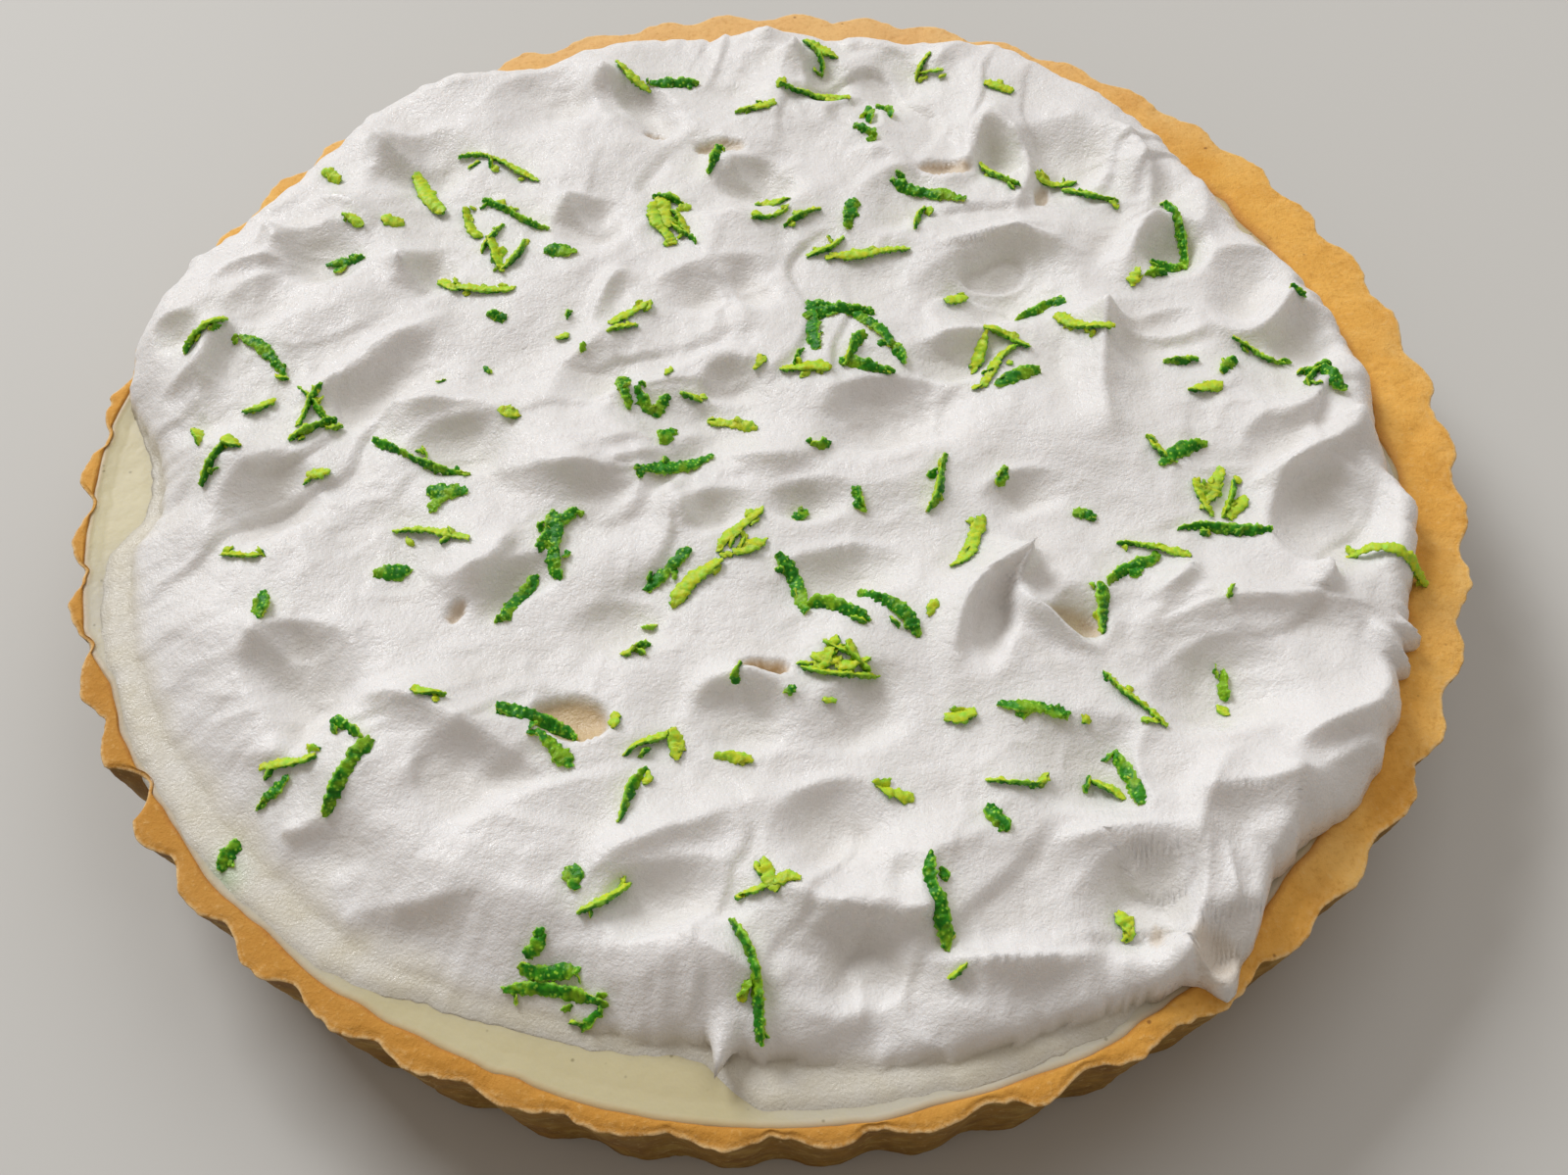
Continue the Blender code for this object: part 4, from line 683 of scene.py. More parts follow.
def topping_point(x, y, level):
    """Height above the bed, sideways lean and share of painted shade inside holes of the topping at x, y, all
    in mm.
    """
    x, y = x + waves(x, y, WARP_X), y + waves(x, y, WARP_Y)
    z = level + waves(x, y, UNEVEN)
    dx, dy, hole_shade = (np.zeros(np.shape(x)) for _ in range(3))
    for px, py, radius, height in SWELLS:
        z = z + height * np.exp(-((x - px) ** 2 + (y - py) ** 2) / radius ** 2)
    hollows = np.zeros(np.shape(x))
    for row in SCOOPS:
        hollow, raised = scoop(x, y, *row)
        hollows = hollows + hollow ** MERGE
        z = z + raised
    z = z - hollows ** (1 / MERGE)
    for row in CRESTS:
        z = z + CREST_GAIN * crest(x, y, *row)
    for px, py, height, radius, heading, lean in PEAKS:
        near = np.clip(1 - np.hypot(x - px, y - py) / radius, 0, None)
        z = z + height * near ** 2
        dx = dx + lean * cos(radians(heading)) * near ** 3
        dy = dy + lean * sin(radians(heading)) * near ** 3
    for px, py, heading, half_length, half_width, depth in HOLES:
        along = (x - px) * cos(radians(heading)) + (y - py) * sin(radians(heading))
        across = -(x - px) * sin(radians(heading)) + (y - py) * cos(radians(heading))
        inside = np.clip(1 - (along / half_length) ** 2 - (across / half_width) ** 2, 0, None)
        z = z - depth * inside ** 0.5
        # painted shade: light brown inside each hole, fuller the deeper it is
        hole_shade = np.maximum(hole_shade, np.clip(inside * 2.5, 0, 1) * min(1, depth / FULL_HOLE_SHADE_DEPTH))
    return z, dx, dy, hole_shade


def disc_grid(cells):
    """A square grid bent evenly into a unit disc: the share of the radius and the angle of each point."""
    a, b = np.meshgrid(np.linspace(-1, 1, cells + 1), np.linspace(-1, 1, cells + 1))
    wide = np.abs(a) > np.abs(b)
    share = np.where(wide, a, b)
    ratio = np.where(wide, b, a) / np.where(share == 0, 1, share)
    phi = np.where(wide, pi / 4 * ratio, pi / 2 - pi / 4 * ratio)
    return np.abs(share), np.where(share < 0, phi + pi, phi)


def topping_material(topping):
    """Whipped topping: satin white with fine froth and streaks, warm painted shade in its hollows and light
    brown painted shade inside its holes.
    """
    material, tree, shader, place = new_material("white_topping", topping.color, 0.45, 0.5, 0.35, 0.004,
                                                 (1.0, 0.92, 0.85))
    froth = texture(tree, place, 1.6 * MM, 4, 0.65)
    streaks = texture(tree, place, 7 * MM, 4, 0.6)
    film = attribute(tree, "film")
    # random streaks, in the same colour as the painted shade of the hollows
    color = coat(tree, topping.color, streaks, 0.35, 0.7, 0.25, topping.streak_and_hollow_shade_color)
    # painted shade: points that lie below their surroundings take a darker, warmer colour
    color = mix(tree, attribute(tree, "hollow"), color, topping.streak_and_hollow_shade_color)
    # painted shade: light brown inside the holes
    color = mix(tree, attribute(tree, "hole_shade"), color, topping.hole_shade_color)
    veil = math(tree, "MULTIPLY", film, ramp(tree, streaks, 0.3, 0.65, 0.6, 1.0))
    color = mix(tree, veil, color, topping.film_color)
    color = mix(tree, attribute(tree, "stain"), color, topping.stain_color)
    tree.links.new(color, shader.inputs["Base Color"])
    calm = ramp(tree, film, 0.0, 1.0, 1.0, 0.15)
    coarse = bump(tree, streaks, 1.0 * MM, math(tree, "MULTIPLY", calm, 0.5))
    medium = bump(tree, froth, 0.5 * MM, math(tree, "MULTIPLY", calm, 0.55), coarse)
    fine = texture(tree, place, 0.5 * MM, 3, 0.6)
    tree.links.new(bump(tree, fine, 0.26 * MM, 0.7, medium), shader.inputs["Normal"])
    tree.links.new(ramp(tree, froth, 0.4, 0.62, topping.wetness, 0.5), shader.inputs["Roughness"])
    return material


def edge_fall(edge, radius, phi):
    """How much of its level the topping has come up to, from 0 at its edge to 1 inside."""
    slope = by_angle(EDGE_SLOPE, phi)
    inside = np.clip((edge - by_angle(FILM_WIDTH, phi) - radius) / slope, 0, 1)
    rolled = np.sqrt(1 - (1 - inside) ** 2)
    run_out = inside * inside * (3 - 2 * inside)
    thin = np.clip((slope - 7) / 10, 0, 1)
    return rolled * (1 - thin) + (0.12 * rolled + 0.88 * run_out) * thin


def stroke_folds(flat):
    """Crisp folds that the spoon's strokes left, from 0 to 1: each rises slowly and ends in a steep face."""
    sideways = np.stack((noise(flat, 13, 39), noise(flat, 13, 40), 0 * flat[..., 2]), axis=-1)
    stroke = 1.7 * noise(flat + 5 * sideways, STROKE_SIZE, STROKE_SEED)
    stroke = stroke + (flat[..., 0] - flat[..., 1]) / STROKE_SPACING
    stroke = stroke - np.floor(stroke)
    strength = np.clip(0.45 + 1.6 * noise(flat, STROKE_STRENGTH_SIZE, STROKE_STRENGTH_SEED), 0, 1)
    return np.minimum(stroke, (1 - stroke) / STROKE_FACE) * strength


def froth_relief(flat):
    """Curled ridges and small froth, in mm, stronger where the topping was worked more."""
    sideways = np.stack((noise(flat, 6, 36), noise(flat, 6, 37), 0 * flat[..., 2]), axis=-1)
    curls = noise(flat + 2.5 * sideways, CURL_SIZE, CURL_SEED)
    worked = np.clip(0.75 + 0.9 * noise(flat, WORKED_SIZE, WORKED_SEED), 0.15, 1)
    return (CURL_HEIGHT * (1 - np.abs(curls)) ** 2 + relief(flat, FROTH)) * worked


def hollow_share(z):
    """How far each point of a grid lies below the points around it, from 0 to 1 at 2 mm: the share of painted
    shade.
    """
    reach = HOLLOW_REACH
    wide = np.pad(z, reach, mode="edge")
    around = (wide[2 * reach:, reach:-reach] + wide[:-2 * reach, reach:-reach]
              + wide[reach:-reach, 2 * reach:] + wide[reach:-reach, :-2 * reach]) / 4
    return np.clip((around - z) / 2, 0, 1)


def topping_surface(topping):
    """The topping's upper face on a bent grid: its x, y and z in mm and its attributes."""
    share, phi = disc_grid(TOPPING_CELLS)
    circle = np.stack((np.cos(phi), np.sin(phi), np.zeros_like(phi)), axis=-1) * 110
    edge = by_angle(TOPPING_EDGE, phi) + relief(circle, RAGGED_TOPPING)
    radius = share * edge
    x, y = radius * np.cos(phi), radius * np.sin(phi)
    z, dx, dy, hole_shade = topping_point(x, y, topping.level / MM)
    fall = edge_fall(edge, radius, phi)
    has_film = np.clip(by_angle(FILM_WIDTH, phi) * 2, 0, 1)
    dip = np.clip((edge - radius) / FILM_EDGE, 0, 1)
    lowest = np.where(has_film > 0, FILM_HEIGHT * dip + FILM_EDGE_HEIGHT * (1 - dip), FOOT_HEIGHT)
    z = np.clip(z, LEAST_HEIGHT, None) * fall + lowest * (1 - fall)
    x, y = x + dx * np.minimum(1, fall * 3), y + dy * np.minimum(1, fall * 3)
    flat = np.stack((x, y, z), axis=-1)
    z = z + topping.strokes / MM * stroke_folds(flat) * np.minimum(1, fall * 1.5)
    z = z + froth_relief(flat) * topping.froth * np.minimum(1, fall * 2)
    film = np.clip(1 - (z - FILM_HEIGHT) / 1.6, 0, 1) * has_film
    stain_x, stain_y, spread, stained = STAIN
    stain = np.exp(-((x - stain_x) ** 2 + (y - stain_y) ** 2) / spread) * stained
    # painted shade shares: in the hollows, by how far each point lies below its neighbours, and inside the
    # holes
    shares = {"hollow": 0.8 * hollow_share(z), "hole_shade": hole_shade, "stain": stain, "film": film}
    return np.stack((x, y, z), axis=-1), shares


def build_topping(topping, material):
    """The spooned topping: swoops, crests, curls and holes on a disc whose edge rolls or thins out."""
    surface, shares = topping_surface(topping)
    verts = (surface * MM + UP * TOPPING_BED).reshape(-1, 3)
    n = TOPPING_CELLS + 1
    index = np.arange(n * n).reshape(n, n)
    quads = np.stack((index[:-1, :-1], index[:-1, 1:], index[1:, 1:], index[1:, :-1]), axis=-1).reshape(-1, 4)
    border = np.concatenate((index[0, :-1], index[:-1, -1], index[-1, :0:-1], index[:0:-1, 0]))
    below = verts[border] * (1 - UP) * 0.995 + UP * (TOPPING_BED + SKIRT_HEIGHT * MM)
    low = n * n + np.arange(len(border))
    skirt = np.stack((border, low, np.roll(low, -1), np.roll(border, -1)), axis=-1)
    faces = quads.tolist() + skirt.tolist() + [low[::-1].tolist()]
    rest = np.zeros(len(border))
    layers = {name: np.concatenate((values.ravel(), rest)) for name, values in shares.items()}
    return piece("topping_white", np.concatenate((verts, below)), faces, material, layers)


def peel_material(peel):
    """Fresh peel: a pored, glossy dark skin with lime dots, and the smooth lime-yellow pale side."""
    material, tree, shader, place = new_material("lime_peel", peel.skin_color, 0.42, 0.25, 0.3, 0.0015,
                                                 (0.6, 1.0, 0.15))
    patches = texture(tree, place, 1.8 * MM)
    skin = coat(tree, peel.skin_color, patches, 0.45, 0.75, 1.0, peel.middle_color)
    skin = coat(tree, skin, texture(tree, place, 4 * MM), 0.50, 0.60, 0.6, peel.lime_color)
    dots = ramp(tree, spots(tree, place, peel.pore_size, 0.9), 0.36, 0.18)
    dots = math(tree, "MULTIPLY", dots, ramp(tree, patches, 0.3, 0.6, 0.4, 1.0))
    edge = ramp(tree, attribute(tree, "edge"), 0.72, 1.0)
    edge = math(tree, "MULTIPLY", edge, ramp(tree, patches, 0.35, 0.6))
    skin = mix(tree, math(tree, "MAXIMUM", dots, edge), skin, peel.dot_color)
    pale = coat(tree, peel.pale_color, texture(tree, place, 1.2 * MM), 0.35, 0.68, 1.0, peel.dot_color)
    green = math(tree, "ADD", attribute(tree, "green"), math(tree, "MULTIPLY", patches, 0.5))
    color = mix(tree, ramp(tree, green, 0.55, 0.75), pale, skin)
    tree.links.new(color, shader.inputs["Base Color"])
    tree.links.new(bump(tree, texture(tree, place, 0.3 * MM, 2), 0.12 * MM, 0.6), shader.inputs["Normal"])
    return material


def output(tree, kind, inputs=None, **settings):
    """Adds a node to a tree and returns its first output."""
    return node(tree, kind, inputs, **settings).outputs[0]


def named(tree, name):
    return output(tree, "GeometryNodeInputNamedAttribute", {"Name": name}, data_type="FLOAT")


def stored(tree, geometry, name, value):
    inputs = {"Geometry": geometry, "Name": name, "Value": value}
    return output(tree, "GeometryNodeStoreNamedAttribute", inputs, data_type="FLOAT", domain="POINT")


def strip_profile(tree, given):
    """Flat, round-edged section of a strip, which knows its green side and its edges."""
    circle = output(tree, "GeometryNodeCurvePrimitiveCircle", {"Resolution": PROFILE_POINTS, "Radius": 1.0})
    parts = node(tree, "ShaderNodeSeparateXYZ", {0: output(tree, "GeometryNodeInputPosition")}).outputs
    circle = stored(tree, circle, "green", ramp(tree, parts["Y"], 0.35, -0.15))
    circle = stored(tree, circle, "edge", math(tree, "ABSOLUTE", parts["X"], 0.0))
    thick = math(tree, "MULTIPLY", parts["Y"], math(tree, "MULTIPLY", given["Thickness"], 0.5))
    wide = math(tree, "MULTIPLY", parts["X"], math(tree, "MULTIPLY", given["Width"], 0.5))
    section = output(tree, "ShaderNodeCombineXYZ", {"X": wide, "Y": thick, "Z": 0.0})
    return output(tree, "GeometryNodeSetPosition", {"Geometry": circle, "Position": section})


def strip_relief(tree, strip, given):
    """Pushes a strip's faces out into lumps, and into pores on the green side."""
    place = output(tree, "GeometryNodeInputPosition")
    inputs = {"Vector": place, "Scale": math(tree, "DIVIDE", 1.0, given["Pore Size"]), "Randomness": 0.9}
    cells = node(tree, "ShaderNodeTexVoronoi", inputs).outputs["Distance"]
    lump = texture(tree, place, LUMP_SIZE, 3.0, 0.5)
    strength = ramp(tree, named(tree, "green"), 0.0, 1.0, 0.35, 1.0)
    pores = math(tree, "MULTIPLY", math(tree, "SUBTRACT", 0.45, cells), strength)
    lumps = math(tree, "MULTIPLY", math(tree, "SUBTRACT", lump, 0.5), LUMP_STRENGTH)
    rise = math(tree, "MULTIPLY", math(tree, "ADD", pores, lumps), given["Bump Height"])
    normal = output(tree, "GeometryNodeInputNormal")
    push = output(tree, "ShaderNodeVectorMath", {0: normal, "Scale": rise}, operation="SCALE")
    return output(tree, "GeometryNodeSetPosition", {"Geometry": strip, "Offset": push})


def peel_tree(material):
    """Geometry nodes that sweep a half-round, pored strip along each line of peel."""
    tree = bpy.data.node_groups.new("peel_strips", "GeometryNodeTree")
    group = tree.interface
    group.new_socket("Lines", in_out="INPUT", socket_type="NodeSocketGeometry")
    for name in ("Width", "Thickness", "Step", "Bump Height", "Pore Size"):
        group.new_socket(name, in_out="INPUT", socket_type="NodeSocketFloat")
    group.new_socket("Strips", in_out="OUTPUT", socket_type="NodeSocketGeometry")
    given = node(tree, "NodeGroupInput").outputs
    curve = output(tree, "GeometryNodeMeshToCurve", {"Mesh": given["Lines"]})
    steps = {"Curve": curve, "Length": given["Step"]}
    curve = output(tree, "GeometryNodeResampleCurve", steps, mode="LENGTH")
    curve = output(tree, "GeometryNodeSetCurveNormal", {"Curve": curve}, mode="Z_UP")
    curve = output(tree, "GeometryNodeSetCurveTilt", {"Curve": curve, "Tilt": named(tree, "roll")})
    sweep = {"Curve": curve, "Profile Curve": strip_profile(tree, given), "Scale": named(tree, "girth"),
             "Fill Caps": True}
    strip = output(tree, "GeometryNodeCurveToMesh", sweep)
    strip = strip_relief(tree, strip, given)
    strip = output(tree, "GeometryNodeSetShadeSmooth", {"Geometry": strip})
    strip = output(tree, "GeometryNodeRealizeInstances", {"Geometry": strip})
    strip = output(tree, "GeometryNodeSetMaterial", {"Geometry": strip, "Material": material})
    node(tree, "NodeGroupOutput", {"Strips": strip})
    return tree


def make_plain(obj, tree, values):
    """Runs a tree on an object with these inputs, and leaves its result as the object's plain mesh."""
    modifier = obj.modifiers.new("nodes", "NODES")
    modifier.node_group = tree
    for item in tree.interface.items_tree:
        if item.in_out == "INPUT" and item.name in values:
            modifier[item.identifier] = values[item.name]
    bpy.context.view_layer.update()
    mesh = bpy.data.meshes.new_from_object(obj.evaluated_get(bpy.context.evaluated_depsgraph_get()))
    mesh.name = obj.name
    obj.modifiers.remove(modifier)
    obj.data = mesh
    return obj


def surface_of(*names):
    """A tree to cast rays on these pieces."""
    verts, faces = [], []
    for name in names:
        mesh = bpy.data.objects[name].data
        place = np.zeros(len(mesh.vertices) * 3, np.float32)
        mesh.vertices.foreach_get("co", place)
        base = len(verts)
        verts.extend(place.reshape(-1, 3).tolist())
        quads = [polygon.vertices for polygon in mesh.polygons if len(polygon.vertices) < 5]
        faces.extend([tuple(v + base for v in quad) for quad in quads])
    return BVHTree.FromPolygons(verts, faces)


def splinters(rows, gap, draw):
    """Short, thin rows of their own beside the shreds, one for each gap of length."""
    short_rows = []
    for x, y, heading, length, skin in rows:
        for _ in range(int(length / gap)):
            along = draw.uniform(-0.5, 0.5) * length
            side = draw.choice((-1, 1)) * draw.uniform(0.4, 1.1)
            px = x + along * cos(radians(heading)) - side * sin(radians(heading))
            py = y + along * sin(radians(heading)) + side * cos(radians(heading))
            turned = heading + draw.uniform(-70, 70)
            short = draw.uniform(1.2, 2.8)
            short_rows.append((px, py, turned, short, skin + draw.uniform(-0.5, 0.3)))
    return short_rows


def lying_height(surface, xs, ys, s, length):
    """Heights of a shred that lies on a surface: a short one spans it, a long one follows it."""
    hits = [surface.ray_cast(Vector((x, y, 1)), -Vector(UP))[0] for x, y in zip(xs, ys)]
    under = np.array([hit.z if hit else CRUST_HEIGHT for hit in hits])
    rest = np.polyval(np.polyfit(s, under, 2 if length > BENDING_LENGTH else 1), s)
    spanning = rest + 0.6 * np.max(under - rest)
    stiff = min(1.0, STIFF_LENGTH / length)
    return spanning * stiff + np.maximum(under, rest) * (1 - stiff)


def shred_lines(name, rows, peel):
    """Lines of points for the shreds of peel, laid on the topping, with their girth and roll."""
    surface = surface_of("crust_baked", "filling_cream", "topping_white")
    draw = np.random.default_rng(peel.seed)
    verts, edges, girths, rolls = [], [], [], []
    for x, y, heading, length, skin in list(rows) + splinters(rows, peel.splinter_gap, draw):
        angle = radians(heading)
        count = max(5, int(length / LINE_STEP) + 1)
        s = np.linspace(-1, 1, count)
        bow = draw.uniform(-0.09, 0.09) * length * (1 - s * s)
        bow = bow + draw.uniform(-0.05, 0.05) * length * np.sin(2.6 * s)
        xs = (x + s * length / 2 * cos(angle) - bow * sin(angle)) * MM
        ys = (y + s * length / 2 * sin(angle) + bow * cos(angle)) * MM
        height = lying_height(surface, xs, ys, s, length)
        girth = (1 - 0.6 * np.abs(s) ** 4) * draw.uniform(0.8, 1.2) * min(1, 0.35 + length / 7)
        girth = girth * (1 + 0.24 * np.interp(s, np.linspace(-1, 1, 7), draw.uniform(-1, 1, 7)))
        lift = peel.thickness * 0.16 + 0.15 * MM * draw.uniform(0, 1)
        turn = (1 - skin) * pi + draw.uniform(-0.5, 0.5) + s * draw.uniform(-0.7, 0.7)
        first = len(verts)
        verts.extend(zip(xs, ys, height + lift))
        edges.extend((first + k, first + k + 1) for k in range(count - 1))
        girths.extend(girth)
        rolls.extend(turn)
    mesh = bpy.data.meshes.new(name)
    mesh.from_pydata(verts, edges, [])
    for key, values in (("girth", girths), ("roll", rolls)):
        mesh.attributes.new(key, "FLOAT", "POINT").data.foreach_set("value", np.array(values, np.float32))
    obj = bpy.data.objects.new(name, mesh)
    bpy.context.scene.collection.objects.link(obj)
    return obj


def build_shreds(name, rows, peel, material):
    """Shreds of peel as swept strips."""
    values = {"Width": peel.width, "Thickness": peel.thickness, "Step": STRIP_STEP,
              "Bump Height": peel.bump_height, "Pore Size": peel.pore_size}
    return make_plain(shred_lines(name, rows, peel), peel_tree(material), values)


def add_light(name, place, size, power, color):
    """A soft area light, aimed at the tart's middle."""
    data = bpy.data.lights.new(name, "AREA")
    data.shape = "SQUARE"
    data.size = size
    data.energy = power
    data.color = color
    light = bpy.data.objects.new(name, data)
    bpy.context.scene.collection.objects.link(light)
    light.location = place
    light.rotation_euler = (Vector(TART_MIDDLE) - Vector(place)).to_track_quat("-Z", "Y").to_euler()
    return light


def add_camera(stage):
    """The camera, set by its place, the point that it looks at, its lens and its roll."""
    data = bpy.data.cameras.new("camera")
    data.lens = stage.lens
    data.sensor_width = stage.sensor
    data.sensor_fit = "HORIZONTAL"
    data.clip_start = 0.01
    camera = bpy.data.objects.new("camera", data)
    bpy.context.scene.collection.objects.link(camera)
    place = Vector(stage.camera_place)
    forward = (Vector(stage.camera_aim) - place).normalized()
    right = forward.cross(Vector((0, 0, 1))).normalized()
    up = right.cross(forward)
    across = cos(stage.roll) * right + sin(stage.roll) * up
    upward = cos(stage.roll) * up - sin(stage.roll) * right
    turn = Matrix((across, upward, -forward)).transposed().to_4x4()
    camera.matrix_world = Matrix.Translation(place) @ turn
    bpy.context.scene.camera = camera


def build_stage(stage):
    """Plain pale floor, soft studio light and the camera."""
    size = stage.floor_size / 2
    corners = [(-size, -size, 0), (size, -size, 0), (size, size, 0), (-size, size, 0)]
    floor_material = new_material("pale_floor", stage.floor_color, 0.6, 0.3)[0]
    piece("floor", corners, [[0, 1, 2, 3]], floor_material)
    world = bpy.data.worlds.new("studio")
    bpy.context.scene.world = world
    world.use_nodes = True
    background = world.node_tree.nodes["Background"]
    background.inputs["Color"].default_value = (*stage.sky_color, 1)
    background.inputs["Strength"].default_value = stage.sky_strength
    add_light("key", KEY_PLACE, KEY_SIZE, stage.key_power, KEY_COLOR)
    add_light("fill", FILL_PLACE, FILL_SIZE, stage.fill_power, FILL_COLOR)
    add_camera(stage)
    bpy.context.scene.view_settings.view_transform = "Standard"
    bpy.context.scene.view_settings.exposure = stage.exposure


def color_prop(name, default):
    return bpy.props.FloatVectorProperty(name=name, description=f"Linear colour of the {name.lower()}",
                                         subtype="COLOR", size=3, min=0, max=1, default=default)


def length_prop(name, default, description):
    return bpy.props.FloatProperty(name=name, description=description, default=default, min=0,
                                   unit="LENGTH", precision=5)


class CrustSettings(bpy.types.PropertyGroup):
    rim_radius: length_prop("Rim radius", 0.120, "Radius of the flute crests at the rim")
    base_radius: length_prop("Base radius", 0.1153, "Radius of the flute crests at the base")
    flutes: bpy.props.IntProperty(name="Flutes", description="Number of flutes round the wall",
                                  default=50, min=8)
    flute_depth: length_prop("Flute depth", 0.0022, "From a flute's crest to its valley")
    edge_round: length_prop("Edge round", 0.0012, "Rounding where the wall meets the base")
    rim_color: color_prop("Rim", (0.90, 0.49, 0.10))
    toasted_color: color_prop("Toasted patches", (0.76, 0.37, 0.055))
    pale_color: color_prop("Pale patches", (0.92, 0.60, 0.20))
    # painted shade on the rim's near-left side
    near_shade_color: color_prop("Painted shade on the near side", (0.53, 0.235, 0.027))
    far_color: color_prop("Paler far side", (0.84, 0.54, 0.255))
    pale_grain_color: color_prop("Pale grains", (0.90, 0.60, 0.24))
    dark_grain_color: color_prop("Dark grains", (0.55, 0.25, 0.04))
    speck_color: color_prop("Specks", (0.22, 0.08, 0.02))
    # painted shade: the wall's brown, darkened as if in shade
    shaded_wall_color: color_prop("Wall", (0.19, 0.098, 0.006))
    worn_color: color_prop("Worn patches of the wall", (0.40, 0.26, 0.06))
    scorched_color: color_prop("Scorched patches of the wall", (0.13, 0.045, 0.006))
    chaff_color: color_prop("Loose crumbs on the wall", (0.55, 0.38, 0.15))
    arris_color: color_prop("Crumbly arris", (0.90, 0.64, 0.32))
    # painted shade on the rim beside the filling
    seam_color: color_prop("Painted shade where the rim meets the filling", (0.50, 0.20, 0.04))


class FillingSettings(bpy.types.PropertyGroup):
    below_rim: length_prop("Below rim", 0.0004, "How far the filling's edge stands below the rim")
    color: color_prop("Filling", (0.58, 0.515, 0.305))
    cloud_color: color_prop("Clouds in the filling", (0.66, 0.605, 0.39))
    film_color: color_prop("Film", (0.60, 0.56, 0.44))
    # painted shade on the filling beside the crust
    seam_color: color_prop("Painted shade where the filling meets the crust", (0.55, 0.36, 0.17))
    speck_color: color_prop("Specks", (0.16, 0.13, 0.06))


class ToppingSettings(bpy.types.PropertyGroup):
    level: length_prop("Level", 0.0062, "Thickness of the topping between its swoops")
    strokes: length_prop("Strokes", 0.0011, "Height of the crisp folds that the spoon's strokes left")
    froth: bpy.props.FloatProperty(name="Froth", description="Strength of the fine unevenness",
                                   default=1.0, min=0)
    wetness: bpy.props.FloatProperty(name="Gloss roughness", description="Roughness of the wettest froth",
                                     default=0.24, min=0, max=1, subtype="FACTOR")
    color: color_prop("Topping", (0.86, 0.85, 0.85))
    # random streaks, and painted shade in the hollows
    streak_and_hollow_shade_color: color_prop("Streaks and painted shade in hollows", (0.80, 0.78, 0.75))
    # painted shade inside the holes
    hole_shade_color: color_prop("Painted shade inside holes", (0.66, 0.50, 0.30))
    film_color: color_prop("Film over the filling", (0.68, 0.63, 0.51))
    stain_color: color_prop("Stain under a shred", (0.42, 0.62, 0.36))


class PeelSettings(bpy.types.PropertyGroup):
    width: length_prop("Width", 0.0025, "Width of a shred")
    thickness: length_prop("Thickness", 0.0010, "Thickness of a shred")
    bump_height: length_prop("Bump height", 0.00050, "Height of the bumps of the skin")
    pore_size: length_prop("Pore size", 0.0008, "Distance between the skin's pores")
    splinter_gap: bpy.props.FloatProperty(name="Splinter gap", default=4.0, min=0.5,
                                          description="Length of shred, in mm, for each splinter")
    seed: bpy.props.IntProperty(name="Seed", description="Seed of bends, girths and rolls", default=5)
    skin_color: color_prop("Skin", (0.015, 0.20, 0.004))
    middle_color: color_prop("Lighter skin", (0.075, 0.40, 0.008))
    lime_color: color_prop("Lime patches", (0.36, 0.60, 0.012))
    dot_color: color_prop("Oil dots", (0.36, 0.72, 0.05))
    pale_color: color_prop("Pale side", (0.62, 0.70, 0.02))


class StageSettings(bpy.types.PropertyGroup):
    floor_size: length_prop("Floor size", 6.0, "Side of the floor")
    floor_color: color_prop("Floor", (0.62, 0.62, 0.60))
    sky_color: color_prop("Sky", (1.0, 0.88, 0.76))
    sky_strength: bpy.props.FloatProperty(name="Sky strength", description="Even light from all sides",
                                          default=0.31)
    key_power: bpy.props.FloatProperty(name="Key power", description="Power of the light from the back left",
                                       default=162.0, unit="POWER")
    fill_power: bpy.props.FloatProperty(name="Fill power", description="Power of the back right light",
                                        default=18.0, unit="POWER")
    exposure: bpy.props.FloatProperty(name="Exposure", description="Exposure of the picture in stops",
                                      default=0.0)
    lens: bpy.props.FloatProperty(name="Lens", description="Focal length in mm", default=39.59)
    sensor: bpy.props.FloatProperty(name="Sensor", description="Sensor width in mm", default=36.0)
    roll: bpy.props.FloatProperty(name="Roll", description="Turn of the camera about its own axis",
                                  default=radians(-1.5664), subtype="ANGLE")
    camera_place: bpy.props.FloatVectorProperty(name="Camera place", description="Where the camera stands",
                                                default=(0, -0.18660, 0.26644), subtype="TRANSLATION")
    camera_aim: bpy.props.FloatVectorProperty(name="Camera aim", description="The point that it looks at",
                                              default=(0.00180, -0.02784, 0.0285), subtype="TRANSLATION")


class TartSettings(bpy.types.PropertyGroup):
    crust: bpy.props.PointerProperty(type=CrustSettings, name="Crust", description="The baked shell")
    filling: bpy.props.PointerProperty(type=FillingSettings, name="Filling", description="The lemon cream")
    topping: bpy.props.PointerProperty(type=ToppingSettings, name="Topping", description="The white topping")
    peel: bpy.props.PointerProperty(type=PeelSettings, name="Peel", description="The shreds of peel")
    stage: bpy.props.PointerProperty(type=StageSettings, name="Stage", description="Floor, light and camera")


def place_piece(obj, slot, *nodes):
    """Lets a finished piece ride with the tart and stand for its nodes; its slot is not used."""
    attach(obj, "root")
    if nodes:
        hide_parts(*nodes)


class TART_OT_crust(bpy.types.Operator):
    """Build the fluted crust"""
    bl_idname = "tart.crust"
    bl_label = "Crust"

    def execute(self, context):
        crust = context.scene.tart.crust
        place_piece(build_crust(crust, crust_material(crust)), "baked_crust", "crust")
        return {"FINISHED"}


class TART_OT_filling(bpy.types.Operator):
    """Build the lemon filling"""
    bl_idname = "tart.filling"
    bl_label = "Filling"

    def execute(self, context):
        tart = context.scene.tart
        filling = build_filling(tart.crust, tart.filling, filling_material(tart.filling))
        place_piece(filling, "lemon_filling", "filling")
        return {"FINISHED"}


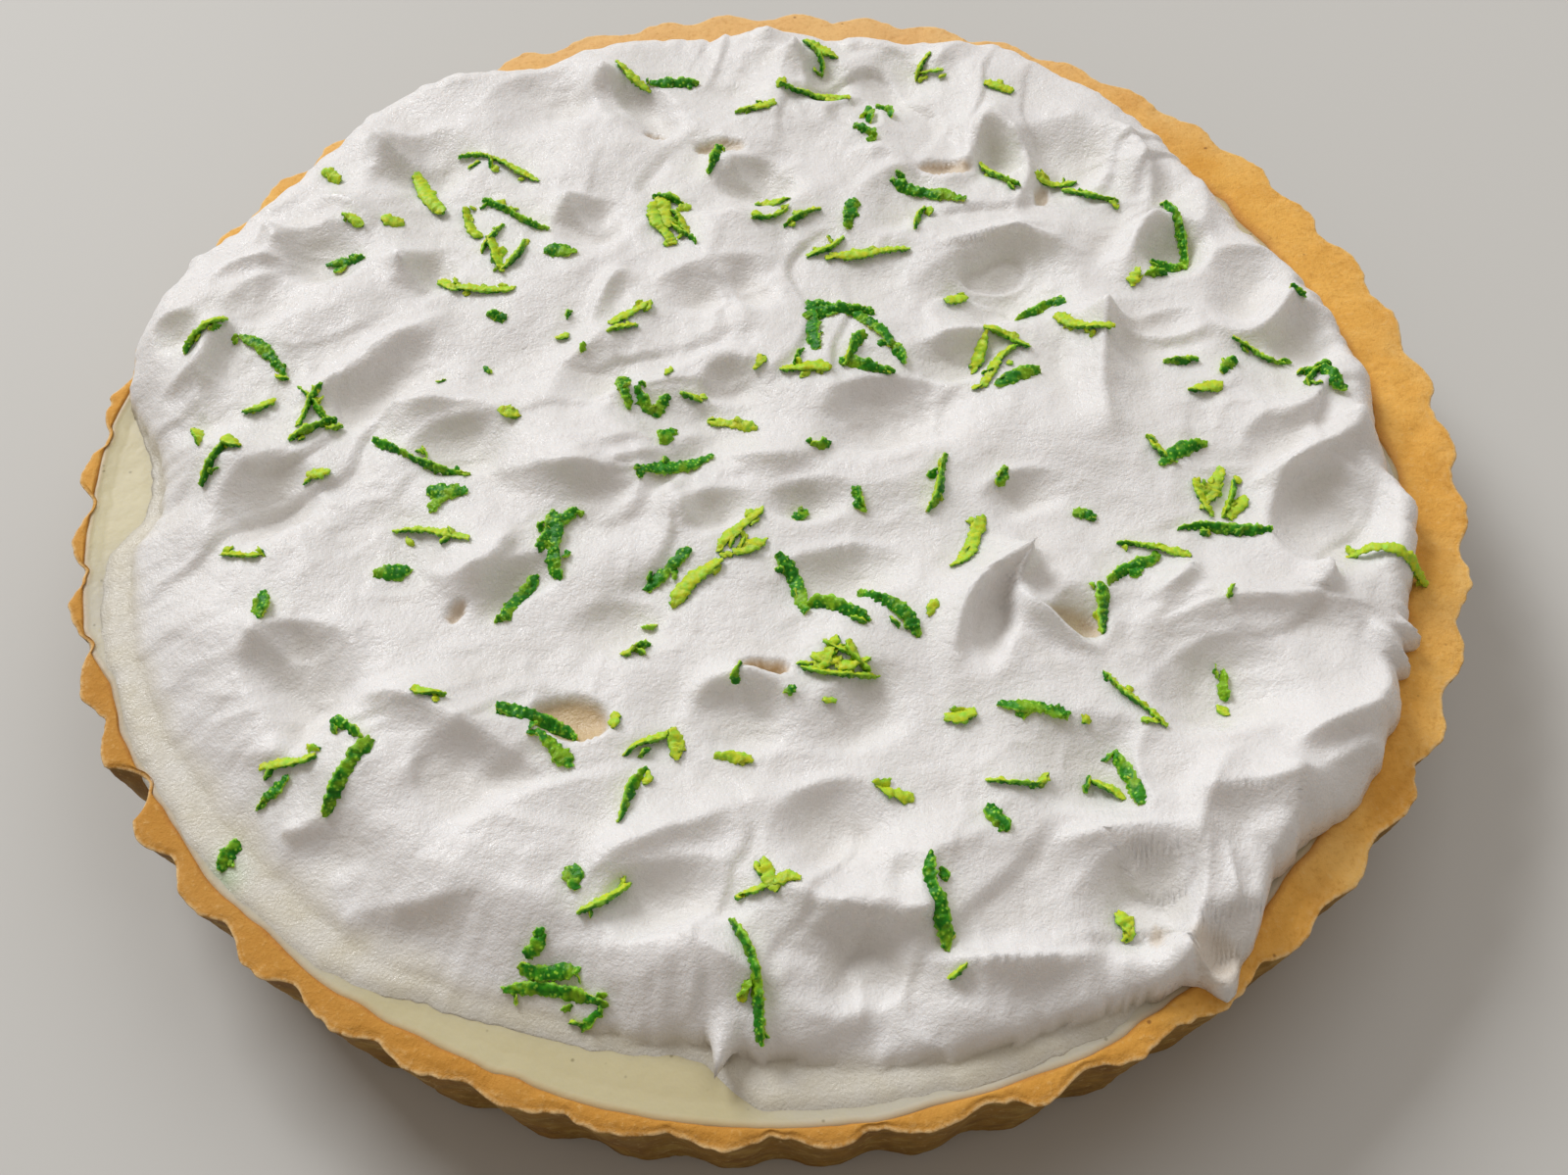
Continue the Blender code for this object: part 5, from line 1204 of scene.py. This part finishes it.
class TART_OT_topping(bpy.types.Operator):
    """Build the spooned topping"""
    bl_idname = "tart.topping"
    bl_label = "Topping"

    def execute(self, context):
        topping = context.scene.tart.topping
        place_piece(build_topping(topping, topping_material(topping)), "white_topping", "topping")
        return {"FINISHED"}


class TART_OT_peel(bpy.types.Operator):
    """Strew the shreds of peel"""
    bl_idname = "tart.peel"
    bl_label = "Peel"

    def execute(self, context):
        peel = context.scene.tart.peel
        material = peel_material(peel)
        green = [row for row in SHREDS if row[4] > 0.5]
        pale = [row for row in SHREDS if row[4] <= 0.5]
        for name, rows in (("peel_green", green), ("peel_pale", pale)):
            place_piece(build_shreds(name, rows, peel, material), "lime_peel")
        return {"FINISHED"}


class TART_OT_stage(bpy.types.Operator):
    """Set up the floor, the light and the camera"""
    bl_idname = "tart.stage"
    bl_label = "Stage"

    def execute(self, context):
        build_stage(context.scene.tart.stage)
        return {"FINISHED"}


class TART_PT_panel(bpy.types.Panel):
    """Lists the tart's builders and settings"""
    bl_idname = "TART_PT_panel"
    bl_label = "Lemon Tart"
    bl_space_type = "VIEW_3D"
    bl_region_type = "UI"
    bl_category = "Tart"

    def draw(self, context):
        for operator in OPERATORS:
            self.layout.operator(operator.bl_idname)
            group = getattr(context.scene.tart, operator.bl_label.lower())
            box = self.layout.box()
            for name in group.bl_rna.properties.keys():
                if name not in ("rna_type", "name"):
                    box.prop(group, name)


OPERATORS = (TART_OT_crust, TART_OT_filling, TART_OT_topping, TART_OT_peel, TART_OT_stage)
SETTINGS = (CrustSettings, FillingSettings, ToppingSettings, PeelSettings, StageSettings, TartSettings)


def register():
    for each in SETTINGS + OPERATORS + (TART_PT_panel,):
        bpy.utils.register_class(each)
    bpy.types.Scene.tart = bpy.props.PointerProperty(type=TartSettings, name="Tart",
                                                     description="Sizes and colours of the tart")


def unregister():
    del bpy.types.Scene.tart
    for each in reversed(SETTINGS + OPERATORS + (TART_PT_panel,)):
        bpy.utils.unregister_class(each)


def main():
    register()
    bpy.ops.tart.crust()
    bpy.ops.tart.filling()
    bpy.ops.tart.topping()
    bpy.ops.tart.peel()
    bpy.ops.tart.stage()


if __name__ == "__main__":
    main()
